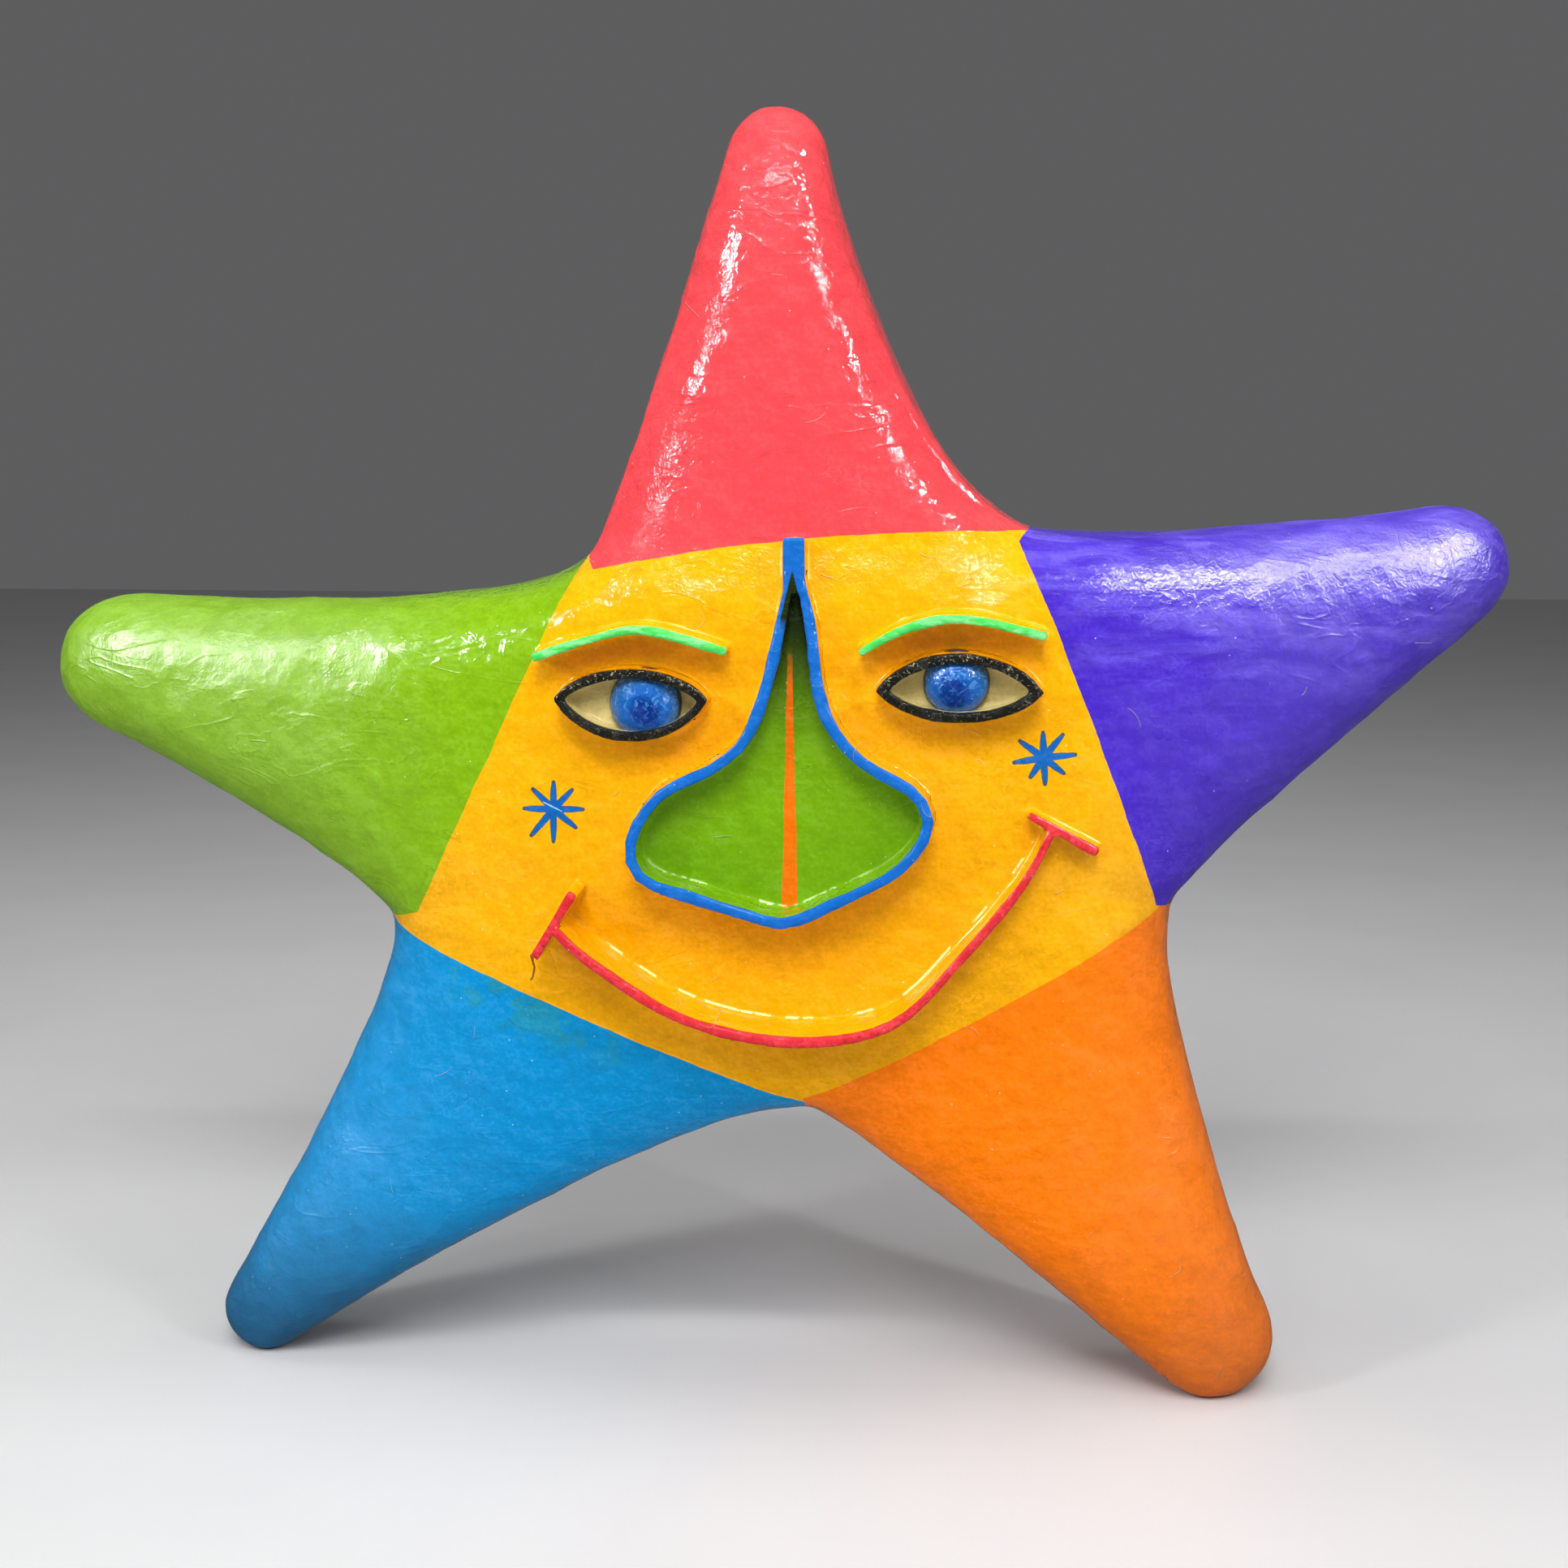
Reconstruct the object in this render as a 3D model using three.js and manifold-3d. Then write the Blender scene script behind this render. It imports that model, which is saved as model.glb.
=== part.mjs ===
// A smiling papier mache star, about 530 mm across, that stands on two of its five arms.
// Millimetres, +Z up. The face looks along -Y, and the origin is under the middle of the star.
// Plan places are to the right and up from the middle of the face, in hundredths of the star's width
// and height, and plan lengths are in hundredths of its width. Depths run both ways from the star's
// middle plane, towards the front and towards the back.

import * as THREE from 'three';
import { mergeVertices } from 'three/addons/utils/BufferGeometryUtils.js';
import Module from 'manifold-3d';

const wasm = await Module();
wasm.setup();

// Clearance between pieces that lie against each other
const fitGap = 0.3;

// The star from tip to tip, across and upright
const starWidth = 530;
const starHeight = 470;

// The padded body: how deep it is in front and behind, its paper skin, and the board in its middle
const faceDepth = 40;
const backDepth = 30;
const skinWall = 3.5;
const boardThickness = 4;
const footFlat = 2;

// Fullness of the body: how square its sections are at the face and at the tips, and how it thins
const rootSquareness = 3.5;
const tipSquareness = 2.2;
const armTaper = 1.5;
const flatShare = 0.5;
const edgeSquareness = 3;

// Fineness of the curved surfaces
const ringSteps = 24;
const outerStations = [0, 0.12, 0.26, 0.42, 0.58, 0.74, 0.88, 1];
const innerStations = [0, 0.3, 0.6, 0.9, 1];
const wadStations = [0.01, 0.3, 0.6, 0.9];
const outerLevels = [1, 0.95, 0.88, 0.77, 0.64, 0.5];
const innerLevels = [1, 0.88, 0.5];
const tipAngles = [30, 60];
const domeSteps = 6;
const wireSides = 8;
const mergeDistance = 0.0001;

// Where two arms meet: place, heading of the star's edge there going round to the left, and for how
// long the edge keeps that heading
const notches = [
  { at: [-13, 18.3], heading: 243, reach: 5.3 },
  { at: [-27.7, -10.3], heading: 303, reach: 3.4 },
  { at: [2.1, -25.6], heading: 335, reach: 5.3 },
  { at: [26.9, -8.1], heading: 60, reach: 4.5 },
  { at: [16.6, 20.3], heading: 171, reach: 7.5 },
];

// The arms, going round to the left from the top: middle and radius of the round tip, where it
// points, how long it runs straight, and how far its seam with the face bows in
const arms = [
  { name: 'red', colour: 0xf04850, tip: [-0.4, 47], radius: 3.6, aim: 87, run: 0.9, bow: 0.6 },
  { name: 'green', colour: 0x7fbb22, tip: [-46.6, 9], radius: 5.1, aim: 172, run: 1.3, bow: 1.5 },
  { name: 'blue', colour: 0x1c91d8, tip: [-38.9, -45.5], radius: 3.4, aim: 230, run: 1.7, bow: 1.7 },
  { name: 'orange', colour: 0xfa8214, tip: [30.6, -44.3], radius: 4.7, aim: 312, run: 0.4, bow: 0.9 },
  { name: 'violet', colour: 0x4826bc, tip: [43.7, 17.1], radius: 4.4, aim: 25, run: 0, bow: 0.9 },
];
const standingArms = ['blue', 'orange'];

// Corners of the card strips: how far the outside of a bend may reach out
const bluntCorner = 1.1;

// Nose: a card strip bent into a bell and stood on edge, low at the brow and high at the mouth
const noseThickness = 3.9;
const noseMitreReach = 5 * noseThickness;
const noseTopHeight = 6;
const noseBottomHeight = 17;
const noseFloorThickness = 1;
const noseSteps = 56;
const noseTip = [1.5, 19.1];
const nosePath = [
  [2.5, 13.6], [3.4, 7.4], [5.7, 3.8], [9.4, 1.3], [10.2, -1.3], [8.3, -4.3],
  [4.2, -6.8], [1.1, -8.3], [-1.5, -7.7], [-4.9, -6.6], [-8.3, -5.3],
  [-9.1, -2.6], [-7.2, 0.9], [-3.4, 3.2], [-1.3, 5.7], [0.2, 11.1],
];

// Brows: card strips on edge
const browThickness = 2.9;
const browHeight = 12;
const browSteps = 12;
const browPaths = {
  left: [[-15.5, 10.9], [-11.7, 12.3], [-8.1, 13], [-2.8, 11.5]],
  right: [[5.7, 11.5], [8.9, 13.4], [12.5, 14], [17.5, 12.8]],
};

// Eyes: a rim of card on edge round an almond, a plate inside it, and a domed eyeball on the plate
// Fullness and lift place the handles of the curves that the lids follow
const eyeRimThickness = 3.1;
const eyeRimHeight = 11;
const eyePlateThickness = 1.5;
const eyeballHeight = 9;
const eyeSteps = 14;
const lidFullness = 0.55;
const lidHandleLift = 4 / 3;
const eyes = {
  left: { at: [-9.1, 7.9], halfWidth: 5.1, rise: 2, drop: 2.7, ball: [-8.3, 7.5], ballRadius: 2.3 },
  right: { at: [12.1, 8.8], halfWidth: 5.3, rise: 2.4, drop: 2, ball: [11.9, 9.3], ballRadius: 2.1 },
};

// Mouth: a long card strip on edge, with a short strip across each end at an angle, slid along itself
const mouthThickness = 3.1;
const mouthHeight = 22;
const mouthSteps = 32;
const mouthPath = [
  [-13.8, -9.1], [-11.7, -11.3], [-5.5, -15.5], [1.7, -17],
  [8.1, -15.5], [12.6, -10.4], [16.4, -4.9], [18.1, -1.1],
];
const mouthEndThickness = 3.2;
const mouthEndHeight = 20;
const mouthEndLength = 27;
const mouthEnds = { left: { angle: 59, slide: 0 }, right: { angle: 152, slide: -0.7 } };

// Hanger on the back: a ring of wire held by a patch of paper pulp
const wireRadius = 1.3;
const hangRingRadius = 14;
const hangRingRise = 24;
const patchRadius = 24;
const patchHeight = 6;
const patchPlace = [0.8, 10.2];

const paperRoughness = 0.35;
const cardRoughness = 0.9;
const wireRoughness = 0.4;
const yellow = 0xfab400;
const rimBlue = 0x1973c8;
const floorGreen = 0x69a00a;
const browGreen = 0x50dc6e;
const lidBlack = 0x15140f;
const eyeCream = 0xe1d796;
const irisBlue = 0x236ec8;
const mouthRed = 0xe1414b;
const cardBrown = 0xb08d5b;
const newsGrey = 0xb9b5aa;
const wireGrey = 0x8c8f92;

const middle = new THREE.Vector2();
const coreDepth = boardThickness / 2 + fitGap;
const padInset = skinWall + fitGap;
const boardInset = padInset + boardThickness / 2;
const star = new THREE.Group();

function add(name, geometry, colour, roughness = paperRoughness, metalness = 0) {
  const material = new THREE.MeshStandardMaterial({ color: colour, roughness, metalness });
  const mesh = new THREE.Mesh(geometry, material);
  mesh.name = name;
  star.add(mesh);
}

// Plan and solid helpers

function direction(degrees) {
  const angle = THREE.MathUtils.degToRad(degrees);
  return new THREE.Vector2(Math.cos(angle), Math.sin(angle));
}

// A place in plan, and a length in plan
function spot([across, up]) {
  return new THREE.Vector2((across * starWidth) / 100, (up * starHeight) / 100);
}

function span(share) {
  return (share * starWidth) / 100;
}

function asideOf(vector) {
  return new THREE.Vector2(-vector.y, vector.x);
}

// A place in plan at a depth in front of the middle plane, or behind it where the depth is negative
function place(plan, depth) {
  return new THREE.Vector3(plan.x, -depth, plan.y);
}

function signedPower(value, exponent) {
  return Math.sign(value) * Math.abs(value) ** exponent;
}

function solid(points, triangles) {
  const geometry = new THREE.BufferGeometry();
  const numbers = points.flatMap((point) => point.toArray());
  geometry.setAttribute('position', new THREE.Float32BufferAttribute(numbers, 3));
  geometry.setIndex(triangles.flat());
  geometry.computeVertexNormals();
  return geometry;
}

function flipped(triangles) {
  return triangles.map(([a, b, c]) => [a, c, b]);
}

// Triangles between two rings of points that start at the given numbers
function band(lower, upper, count) {
  const triangles = [];
  for (let i = 0; i < count; i += 1) {
    const next = (i + 1) % count;
    triangles.push([lower + i, upper + next, lower + next], [lower + i, upper + i, upper + next]);
  }
  return triangles;
}

// Triangles between a ring of points and one end point
function fan(ring, end, count) {
  const triangles = [];
  for (let i = 0; i < count; i += 1) triangles.push([ring + i, end, ring + ((i + 1) % count)]);
  return triangles;
}

// Triangles of a skin over rings of equal count, from the first ring to an end point
function skin(first, ringCount, count) {
  const triangles = fan(first + (ringCount - 1) * count, first + ringCount * count, count);
  for (let i = 0; i < ringCount - 1; i += 1) {
    triangles.push(...band(first + i * count, first + (i + 1) * count, count));
  }
  return triangles;
}

// Rings of equal count joined one after another, with flat ends
function loft(rings) {
  const count = rings[0].length;
  const last = (rings.length - 1) * count;
  const triangles = [];
  for (let i = 0; i < rings.length - 1; i += 1) triangles.push(...band(i * count, (i + 1) * count, count));
  for (let i = 1; i < count - 1; i += 1) triangles.push([0, i, i + 1], [last, last + i + 1, last + i]);
  return solid(rings.flat(), triangles);
}

function toManifold(geometry) {
  const bare = geometry.clone();
  bare.deleteAttribute('normal');
  bare.deleteAttribute('uv');
  const merged = mergeVertices(bare, mergeDistance);
  const vertProperties = new Float32Array(merged.attributes.position.array);
  const triVerts = new Uint32Array(merged.index.array);
  return new wasm.Manifold(new wasm.Mesh({ numProp: 3, vertProperties, triVerts }));
}

function fromManifold(manifold) {
  const mesh = manifold.getMesh();
  const geometry = new THREE.BufferGeometry();
  geometry.setAttribute('position', new THREE.Float32BufferAttribute(mesh.vertProperties, 3));
  geometry.setIndex(Array.from(mesh.triVerts));
  geometry.computeVertexNormals();
  return geometry;
}

function cutAway(geometry, tool) {
  return fromManifold(toManifold(geometry).subtract(toManifold(tool)));
}

function keepInside(geometry, tool) {
  return fromManifold(toManifold(geometry).intersect(toManifold(tool)));
}

// A flat shape in plan, given thickness towards the front from a depth
function plate(outline, depth, thickness) {
  const shape = new THREE.Shape(outline);
  const geometry = new THREE.ExtrudeGeometry(shape, { depth: thickness, bevelEnabled: false });
  geometry.rotateX(Math.PI / 2);
  geometry.translate(0, -depth, 0);
  return geometry;
}

// A low dome on the plan's middle, rising towards the back
function dome(radius, height) {
  const profile = new THREE.Path().absellipse(0, 0, radius, height, 0, Math.PI / 2).getPoints(domeSteps);
  return new THREE.LatheGeometry([middle, ...profile], ringSteps);
}

// Body

function notchAt(index) {
  return notches[(index + notches.length) % notches.length];
}

// The notch on the left of an arm, drawn in towards the middle by an inset
function notchPoint(index, inset) {
  const plan = spot(notchAt(index).at);
  const inward = plan.clone().negate().normalize();
  return plan.addScaledVector(inward, inset);
}

// The two edges of an arm in plan, from its notches to the round of its tip
function armEdges(index, inset) {
  const arm = arms[index];
  const aim = direction(arm.aim);
  const radius = span(arm.radius) - inset;
  function edge(notchIndex, turn) {
    const notch = notchAt(notchIndex);
    const along = direction(notch.heading).multiplyScalar(-turn);
    const start = notchPoint(notchIndex, inset).addScaledVector(along, fitGap);
    const end = spot(arm.tip).addScaledVector(asideOf(aim), turn * radius);
    const leave = start.clone().addScaledVector(along, span(notch.reach));
    const arrive = end.clone().addScaledVector(aim, -span(arm.run));
    return new THREE.CubicBezierCurve(start, leave, arrive, end);
  }
  return { left: edge(index, 1), right: edge(index - 1, -1) };
}

// The size of an arm's section at a station from 0 at the face to 1 at the round of the tip
function armSection(index, station, inset) {
  const arm = arms[index];
  const edges = armEdges(index, inset);
  const tipDepth = span(arm.radius);
  const fullness = 1 - station ** armTaper;
  const fade = (1 - station) ** 2;
  return {
    left: edges.left.getPoint(station),
    right: edges.right.getPoint(station),
    front: tipDepth + (faceDepth - tipDepth) * fullness - inset,
    back: tipDepth + (backDepth - tipDepth) * fullness - inset,
    squareness: tipSquareness + (rootSquareness - tipSquareness) * fade,
    bow: span(arm.bow) * fade,
  };
}

// A point round a section: the right edge at 0, the front a quarter round, then the left edge
function sectionPoint(section, angle) {
  const { left, right, front, back, squareness, bow } = section;
  const half = right.clone().sub(left).multiplyScalar(0.5);
  const inward = asideOf(half).normalize().negate();
  const across = signedPower(Math.cos(angle), 2 / squareness);
  const rise = signedPower(Math.sin(angle), 2 / squareness);
  const plan = left.clone().addScaledVector(half, 1 + across);
  plan.addScaledVector(inward, bow * (1 - across ** 2));
  return place(plan, rise * (rise > 0 ? front : back));
}

function sectionRing(section) {
  const ring = [];
  for (let i = 0; i < ringSteps; i += 1) ring.push(sectionPoint(section, (2 * Math.PI * i) / ringSteps));
  return ring;
}

// The sections of the round tip, and its end point
function armTip(index, inset) {
  const arm = arms[index];
  const aim = direction(arm.aim);
  const tip = spot(arm.tip);
  const radius = span(arm.radius) - inset;
  const sections = tipAngles.map((degrees) => {
    const lean = direction(degrees);
    const reach = radius * lean.x;
    const centre = tip.clone().addScaledVector(aim, radius * lean.y);
    const left = centre.clone().addScaledVector(asideOf(aim), reach);
    const right = centre.clone().addScaledVector(asideOf(aim), -reach);
    return { left, right, front: reach, back: reach, squareness: tipSquareness, bow: 0 };
  });
  return { sections, end: place(tip.clone().addScaledVector(aim, radius), 0) };
}

// The paper skin of one arm: a hollow horn, open towards the middle of the star
function armSkin(index) {
  const points = [];
  const triangles = [];
  function wall(stations, inset, facesIn) {
    const first = points.length;
    const { sections, end } = armTip(index, inset);
    const all = [...stations.map((station) => armSection(index, station, inset)), ...sections];
    points.push(...all.flatMap(sectionRing), end);
    const faces = skin(first, all.length, ringSteps);
    triangles.push(...(facesIn ? flipped(faces) : faces));
    return first;
  }
  const outside = wall(outerStations, 0, false);
  const inside = wall(innerStations, skinWall, true);
  triangles.push(...flipped(band(outside, inside, ringSteps)));
  return solid(points, triangles);
}

// The seam between the arms and the front (side 1) or back (side -1) of the middle, going round to
// the left, drawn in by a gap
function seam(inset, gap, side) {
  const points = [];
  for (let index = 0; index < arms.length; index += 1) {
    const section = armSection(index, 0, inset);
    for (let i = 0; i < ringSteps / 2; i += 1) {
      const point = sectionPoint(section, (side * 2 * Math.PI * i) / ringSteps);
      const plan = i > 0 ? new THREE.Vector2(point.x, point.z) : notchPoint(index - 1, inset);
      const inward = plan.clone().negate().normalize();
      points.push({ plan: plan.addScaledVector(inward, gap), depth: Math.abs(point.y) });
    }
  }
  return points;
}

// How much of the way from the flat of the face down to the seam is dropped, at a share of the way out
function edgeDrop(share) {
  const beyond = Math.max(0, (share - flatShare) / (1 - flatShare));
  return 1 - (1 - beyond ** edgeSquareness) ** (1 / edgeSquareness);
}

function panelRing(border, top, share, side) {
  return border.map(({ plan, depth }) => {
    return place(plan.clone().multiplyScalar(share), side * (top - (top - depth) * edgeDrop(share)));
  });
}

// The front or back of the middle: a dished panel of paper whose corners run down into the notches
function panelSkin(top, side) {
  const points = [];
  const triangles = [];
  function wall(inset, levels, facesFront) {
    const first = points.length;
    const border = seam(inset, fitGap, side);
    for (const share of levels) points.push(...panelRing(border, top - inset, share, side));
    points.push(place(middle, side * (top - inset)));
    const faces = skin(first, levels.length, border.length);
    triangles.push(...(facesFront ? flipped(faces) : faces));
    return first;
  }
  const outside = wall(0, outerLevels, side > 0);
  const inside = wall(skinWall, innerLevels, side < 0);
  const [near, far] = side > 0 ? [outside, inside] : [inside, outside];
  triangles.push(...band(near, far, arms.length * (ringSteps / 2)));
  return solid(points, triangles);
}

// One wad of crumpled newspaper between the board and the skin of an arm, in front or behind
function armWad(index, side) {
  const half = ringSteps / 2;
  function endOnBoard(edge, next) {
    return edge.clone().lerp(next, coreDepth / Math.abs(next.y));
  }
  const rings = wadStations.map((station) => {
    const ring = sectionRing(armSection(index, station, padInset));
    const arc = side > 0 ? ring.slice(0, half + 1) : [...ring.slice(half), ring[0]];
    const first = endOnBoard(arc[0], arc[1]);
    const last = endOnBoard(arc[half], arc[half - 1]);
    return [first, ...arc.slice(1, half), last];
  });
  return loft(rings);
}

// The wad behind the face, or the one inside the back, which leaves the seam's corners empty
function middleWad(top, side) {
  const border = seam(padInset, fitGap, side);
  const levels = innerLevels.slice(1);
  const points = border.map(({ plan }) => place(plan.clone().multiplyScalar(levels[0]), side * coreDepth));
  for (const share of levels) points.push(...panelRing(border, top - padInset, share, side));
  points.push(place(middle, side * (top - padInset)), place(middle, side * coreDepth));
  const under = flipped(fan(0, points.length - 1, border.length));
  const faces = [...skin(0, levels.length + 1, border.length), ...under];
  return solid(points, side > 0 ? flipped(faces) : faces);
}

// The cardboard star in the middle plane, which the padding is taped to
function coreBoard() {
  const outline = arms.flatMap((arm, index) => {
    const { left, right } = armEdges(index, boardInset);
    const out = wadStations.map((station) => right.getPoint(station));
    const home = wadStations.map((station) => left.getPoint(station)).reverse();
    return [...out, ...home];
  });
  return plate(outline, -boardThickness / 2, boardThickness);
}

// Two of the arm skins are pressed flat where the star stands on them
const armSkins = arms.map((arm, index) => armSkin(index));

function lowestPoint(geometry) {
  geometry.computeBoundingBox();
  return geometry.boundingBox.min.z;
}

const feet = arms.map((arm, index) => index).filter((index) => standingArms.includes(arms[index].name));
const standLevel = Math.max(...feet.map((index) => lowestPoint(armSkins[index]))) + footFlat;
for (const index of feet) {
  const box = armSkins[index].boundingBox;
  const reach = box.max.x - box.min.x;
  const ground = new THREE.BoxGeometry(2 * reach, 2 * reach, reach);
  ground.translate((box.max.x + box.min.x) / 2, 0, standLevel - reach / 2);
  armSkins[index] = cutAway(armSkins[index], ground);
}

add('core_board', coreBoard(), cardBrown, cardRoughness);
arms.forEach((arm, index) => {
  add(`${arm.name}_front_wad`, armWad(index, 1), newsGrey, cardRoughness);
  add(`${arm.name}_back_wad`, armWad(index, -1), newsGrey, cardRoughness);
  add(`${arm.name}_arm_skin`, armSkins[index], arm.colour);
});
add('face_wad', middleWad(faceDepth, 1), newsGrey, cardRoughness);
add('back_wad', middleWad(backDepth, -1), newsGrey, cardRoughness);
add('face_skin', panelSkin(faceDepth, 1), yellow);
add('back_skin', panelSkin(backDepth, -1), yellow);

// Face

const faceSeam = seam(0, fitGap, 1);

// Depth of the face's surface at a place in plan
function faceDepthAt(plan) {
  const count = faceSeam.length;
  for (let i = 0; i < count; i += 1) {
    const a = faceSeam[i];
    const b = faceSeam[(i + 1) % count];
    const area = a.plan.cross(b.plan);
    const partA = plan.cross(b.plan) / area;
    const partB = a.plan.cross(plan) / area;
    if (partA >= 0 && partB >= 0 && partA + partB > 0) {
      const share = partA + partB;
      const depth = (a.depth * partA + b.depth * partB) / share;
      return faceDepth - (faceDepth - depth) * edgeDrop(Math.min(1, share));
    }
  }
  return faceDepth;
}

// Points at equal steps along a smooth curve through the given places
function smoothPath(places, steps) {
  return new THREE.SplineCurve(places.map(spot)).getSpacedPoints(steps);
}

// The two sides of a card strip along a path. Its inner corners are mitred, and its outer ones reach
// out by no more than the given share of half the thickness
function stripSides(path, thickness, closed) {
  const count = path.length;
  function heading(from, to) {
    return path[(to + count) % count].clone().sub(path[(from + count) % count]).normalize();
  }
  return path.map((point, i) => {
    const starts = !closed && i === 0;
    const ends = !closed && i === count - 1;
    const into = starts ? heading(i, i + 1) : heading(i - 1, i);
    const out = ends ? heading(i - 1, i) : heading(i, i + 1);
    const normal = asideOf(into).add(asideOf(out)).normalize();
    const mitre = 1 / normal.dot(asideOf(into));
    const turn = into.cross(out);
    const blunt = Math.min(mitre, bluntCorner);
    const left = point.clone().addScaledVector(normal, (thickness / 2) * (turn < 0 ? blunt : mitre));
    const right = point.clone().addScaledVector(normal, (-thickness / 2) * (turn > 0 ? blunt : mitre));
    return { point, left, right };
  });
}

// A card strip stood on edge on the face along a path, with its height worked out at each place
function cardStrip(path, thickness, heightAt, closed = false) {
  const sections = stripSides(path, thickness, closed).map(({ point, left, right }) => {
    const top = faceDepthAt(point) + heightAt(point);
    return [
      place(right, faceDepthAt(right) + fitGap),
      place(right, top),
      place(left, top),
      place(left, faceDepthAt(left) + fitGap),
    ];
  });
  if (!closed) return loft(sections);
  const corners = sections[0].length;
  const triangles = sections.flatMap((section, i) => {
    return band(i * corners, ((i + 1) % sections.length) * corners, corners);
  });
  return solid(sections.flat(), triangles);
}

// The depth at which a flat plate lies on the face inside an outline
function restDepth(outline) {
  return Math.max(...outline.map(faceDepthAt)) + fitGap;
}

// Nose: both ends of its strip meet at the tip, so the places near the tip are left to the mitre
const noseTop = spot(noseTip);
const noseCurve = smoothPath([noseTip, ...nosePath, noseTip], noseSteps);
const noseLine = [noseTop, ...noseCurve.filter((point) => point.distanceTo(noseTop) > noseMitreReach)];
const noseLow = Math.min(...noseLine.map((point) => point.y));

function noseHeightAt(point) {
  const share = (noseTop.y - point.y) / (noseTop.y - noseLow);
  return noseTopHeight + (noseBottomHeight - noseTopHeight) * share;
}

const noseInside = stripSides(noseLine, noseThickness + 2 * fitGap, true).map(({ right }) => right);
add('nose_wall', cardStrip(noseLine, noseThickness, noseHeightAt, true), rimBlue);
add('nose_floor', plate(noseInside, restDepth(noseInside), noseFloorThickness), floorGreen);

for (const [side, places] of Object.entries(browPaths)) {
  const path = smoothPath(places, browSteps);
  add(`${side}_brow`, cardStrip(path, browThickness, () => browHeight), browGreen);
}

// The almond of an eye, going round to the left from its right corner
function almond(eye, inset) {
  const right = new THREE.Vector2(span(eye.halfWidth) - bluntCorner * inset, 0);
  const left = right.clone().negate();
  function lid(from, to, height) {
    const lift = new THREE.Vector2(0, lidHandleLift * height);
    const leave = from.clone().multiplyScalar(lidFullness).add(lift);
    const arrive = to.clone().multiplyScalar(lidFullness).add(lift);
    return new THREE.CubicBezierCurve(from, leave, arrive, to).getPoints(eyeSteps).slice(0, -1);
  }
  const upper = lid(right, left, span(eye.rise) - inset);
  const lower = lid(left, right, inset - span(eye.drop));
  return [...upper, ...lower].map((point) => point.add(spot(eye.at)));
}

for (const [side, eye] of Object.entries(eyes)) {
  const rimLine = almond(eye, eyeRimThickness / 2);
  const opening = stripSides(rimLine, eyeRimThickness + 2 * fitGap, true).map(({ left }) => left);
  const plateDepth = restDepth(opening);
  const ballDepth = plateDepth + eyePlateThickness + fitGap;
  const { x, y, z } = place(spot(eye.ball), ballDepth);
  const ball = dome(span(eye.ballRadius), eyeballHeight);
  ball.rotateX(Math.PI);
  ball.translate(x, y, z);
  const room = plate(opening, ballDepth - fitGap, eyeballHeight + 2 * fitGap);
  const rim = cardStrip(rimLine, eyeRimThickness, () => eyeRimHeight, true);
  add(`${side}_eye_rim`, rim, lidBlack);
  add(`${side}_eye_white`, plate(opening, plateDepth, eyePlateThickness), eyeCream);
  add(`${side}_eyeball`, keepInside(ball, room), irisBlue);
}

// Mouth, and a strip across each end that stands clear of the mouth's square end
const mouthLine = smoothPath(mouthPath, mouthSteps);
add('mouth_strip', cardStrip(mouthLine, mouthThickness, () => mouthHeight), mouthRed);

function mouthEnd(end, before, { angle, slide }) {
  const outward = end.clone().sub(before).normalize();
  const along = direction(angle);
  const lean = Math.abs(along.dot(outward));
  const square = Math.abs(along.cross(outward));
  const reach = fitGap + (mouthEndThickness + mouthThickness * lean) / (2 * square);
  const centre = end.clone().addScaledVector(outward, reach).addScaledVector(along, span(slide));
  const path = [-0.5, 0, 0.5].map((share) => centre.clone().addScaledVector(along, share * mouthEndLength));
  return cardStrip(path, mouthEndThickness, () => mouthEndHeight);
}

add('mouth_end_left', mouthEnd(mouthLine[0], mouthLine[1], mouthEnds.left), mouthRed);
add('mouth_end_right', mouthEnd(mouthLine.at(-1), mouthLine.at(-2), mouthEnds.right), mouthRed);

// Hanger

const patchY = backDepth + fitGap;
const patchMiddle = spot(patchPlace);

function hangRing(thickness) {
  const ring = new THREE.TorusGeometry(hangRingRadius, thickness, wireSides, ringSteps);
  ring.rotateX(Math.PI / 2);
  ring.translate(patchMiddle.x, patchY + patchHeight / 2, patchMiddle.y + hangRingRise);
  return ring;
}

const patch = dome(patchRadius, patchHeight);
patch.translate(patchMiddle.x, patchY, patchMiddle.y);
add('hanging_ring', hangRing(wireRadius), wireGrey, wireRoughness, 1);
add('hanger_patch', cutAway(patch, hangRing(wireRadius + fitGap)), yellow);

// The origin lies on the ground under the middle of the star's box
const box = new THREE.Box3().setFromObject(star);
const centre = box.getCenter(new THREE.Vector3());
star.position.set(-centre.x, -centre.y, -box.min.z);

export default star;
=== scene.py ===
import bpy
import math
import numpy as np
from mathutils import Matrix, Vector
from mathutils.bvhtree import BVHTree


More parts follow.
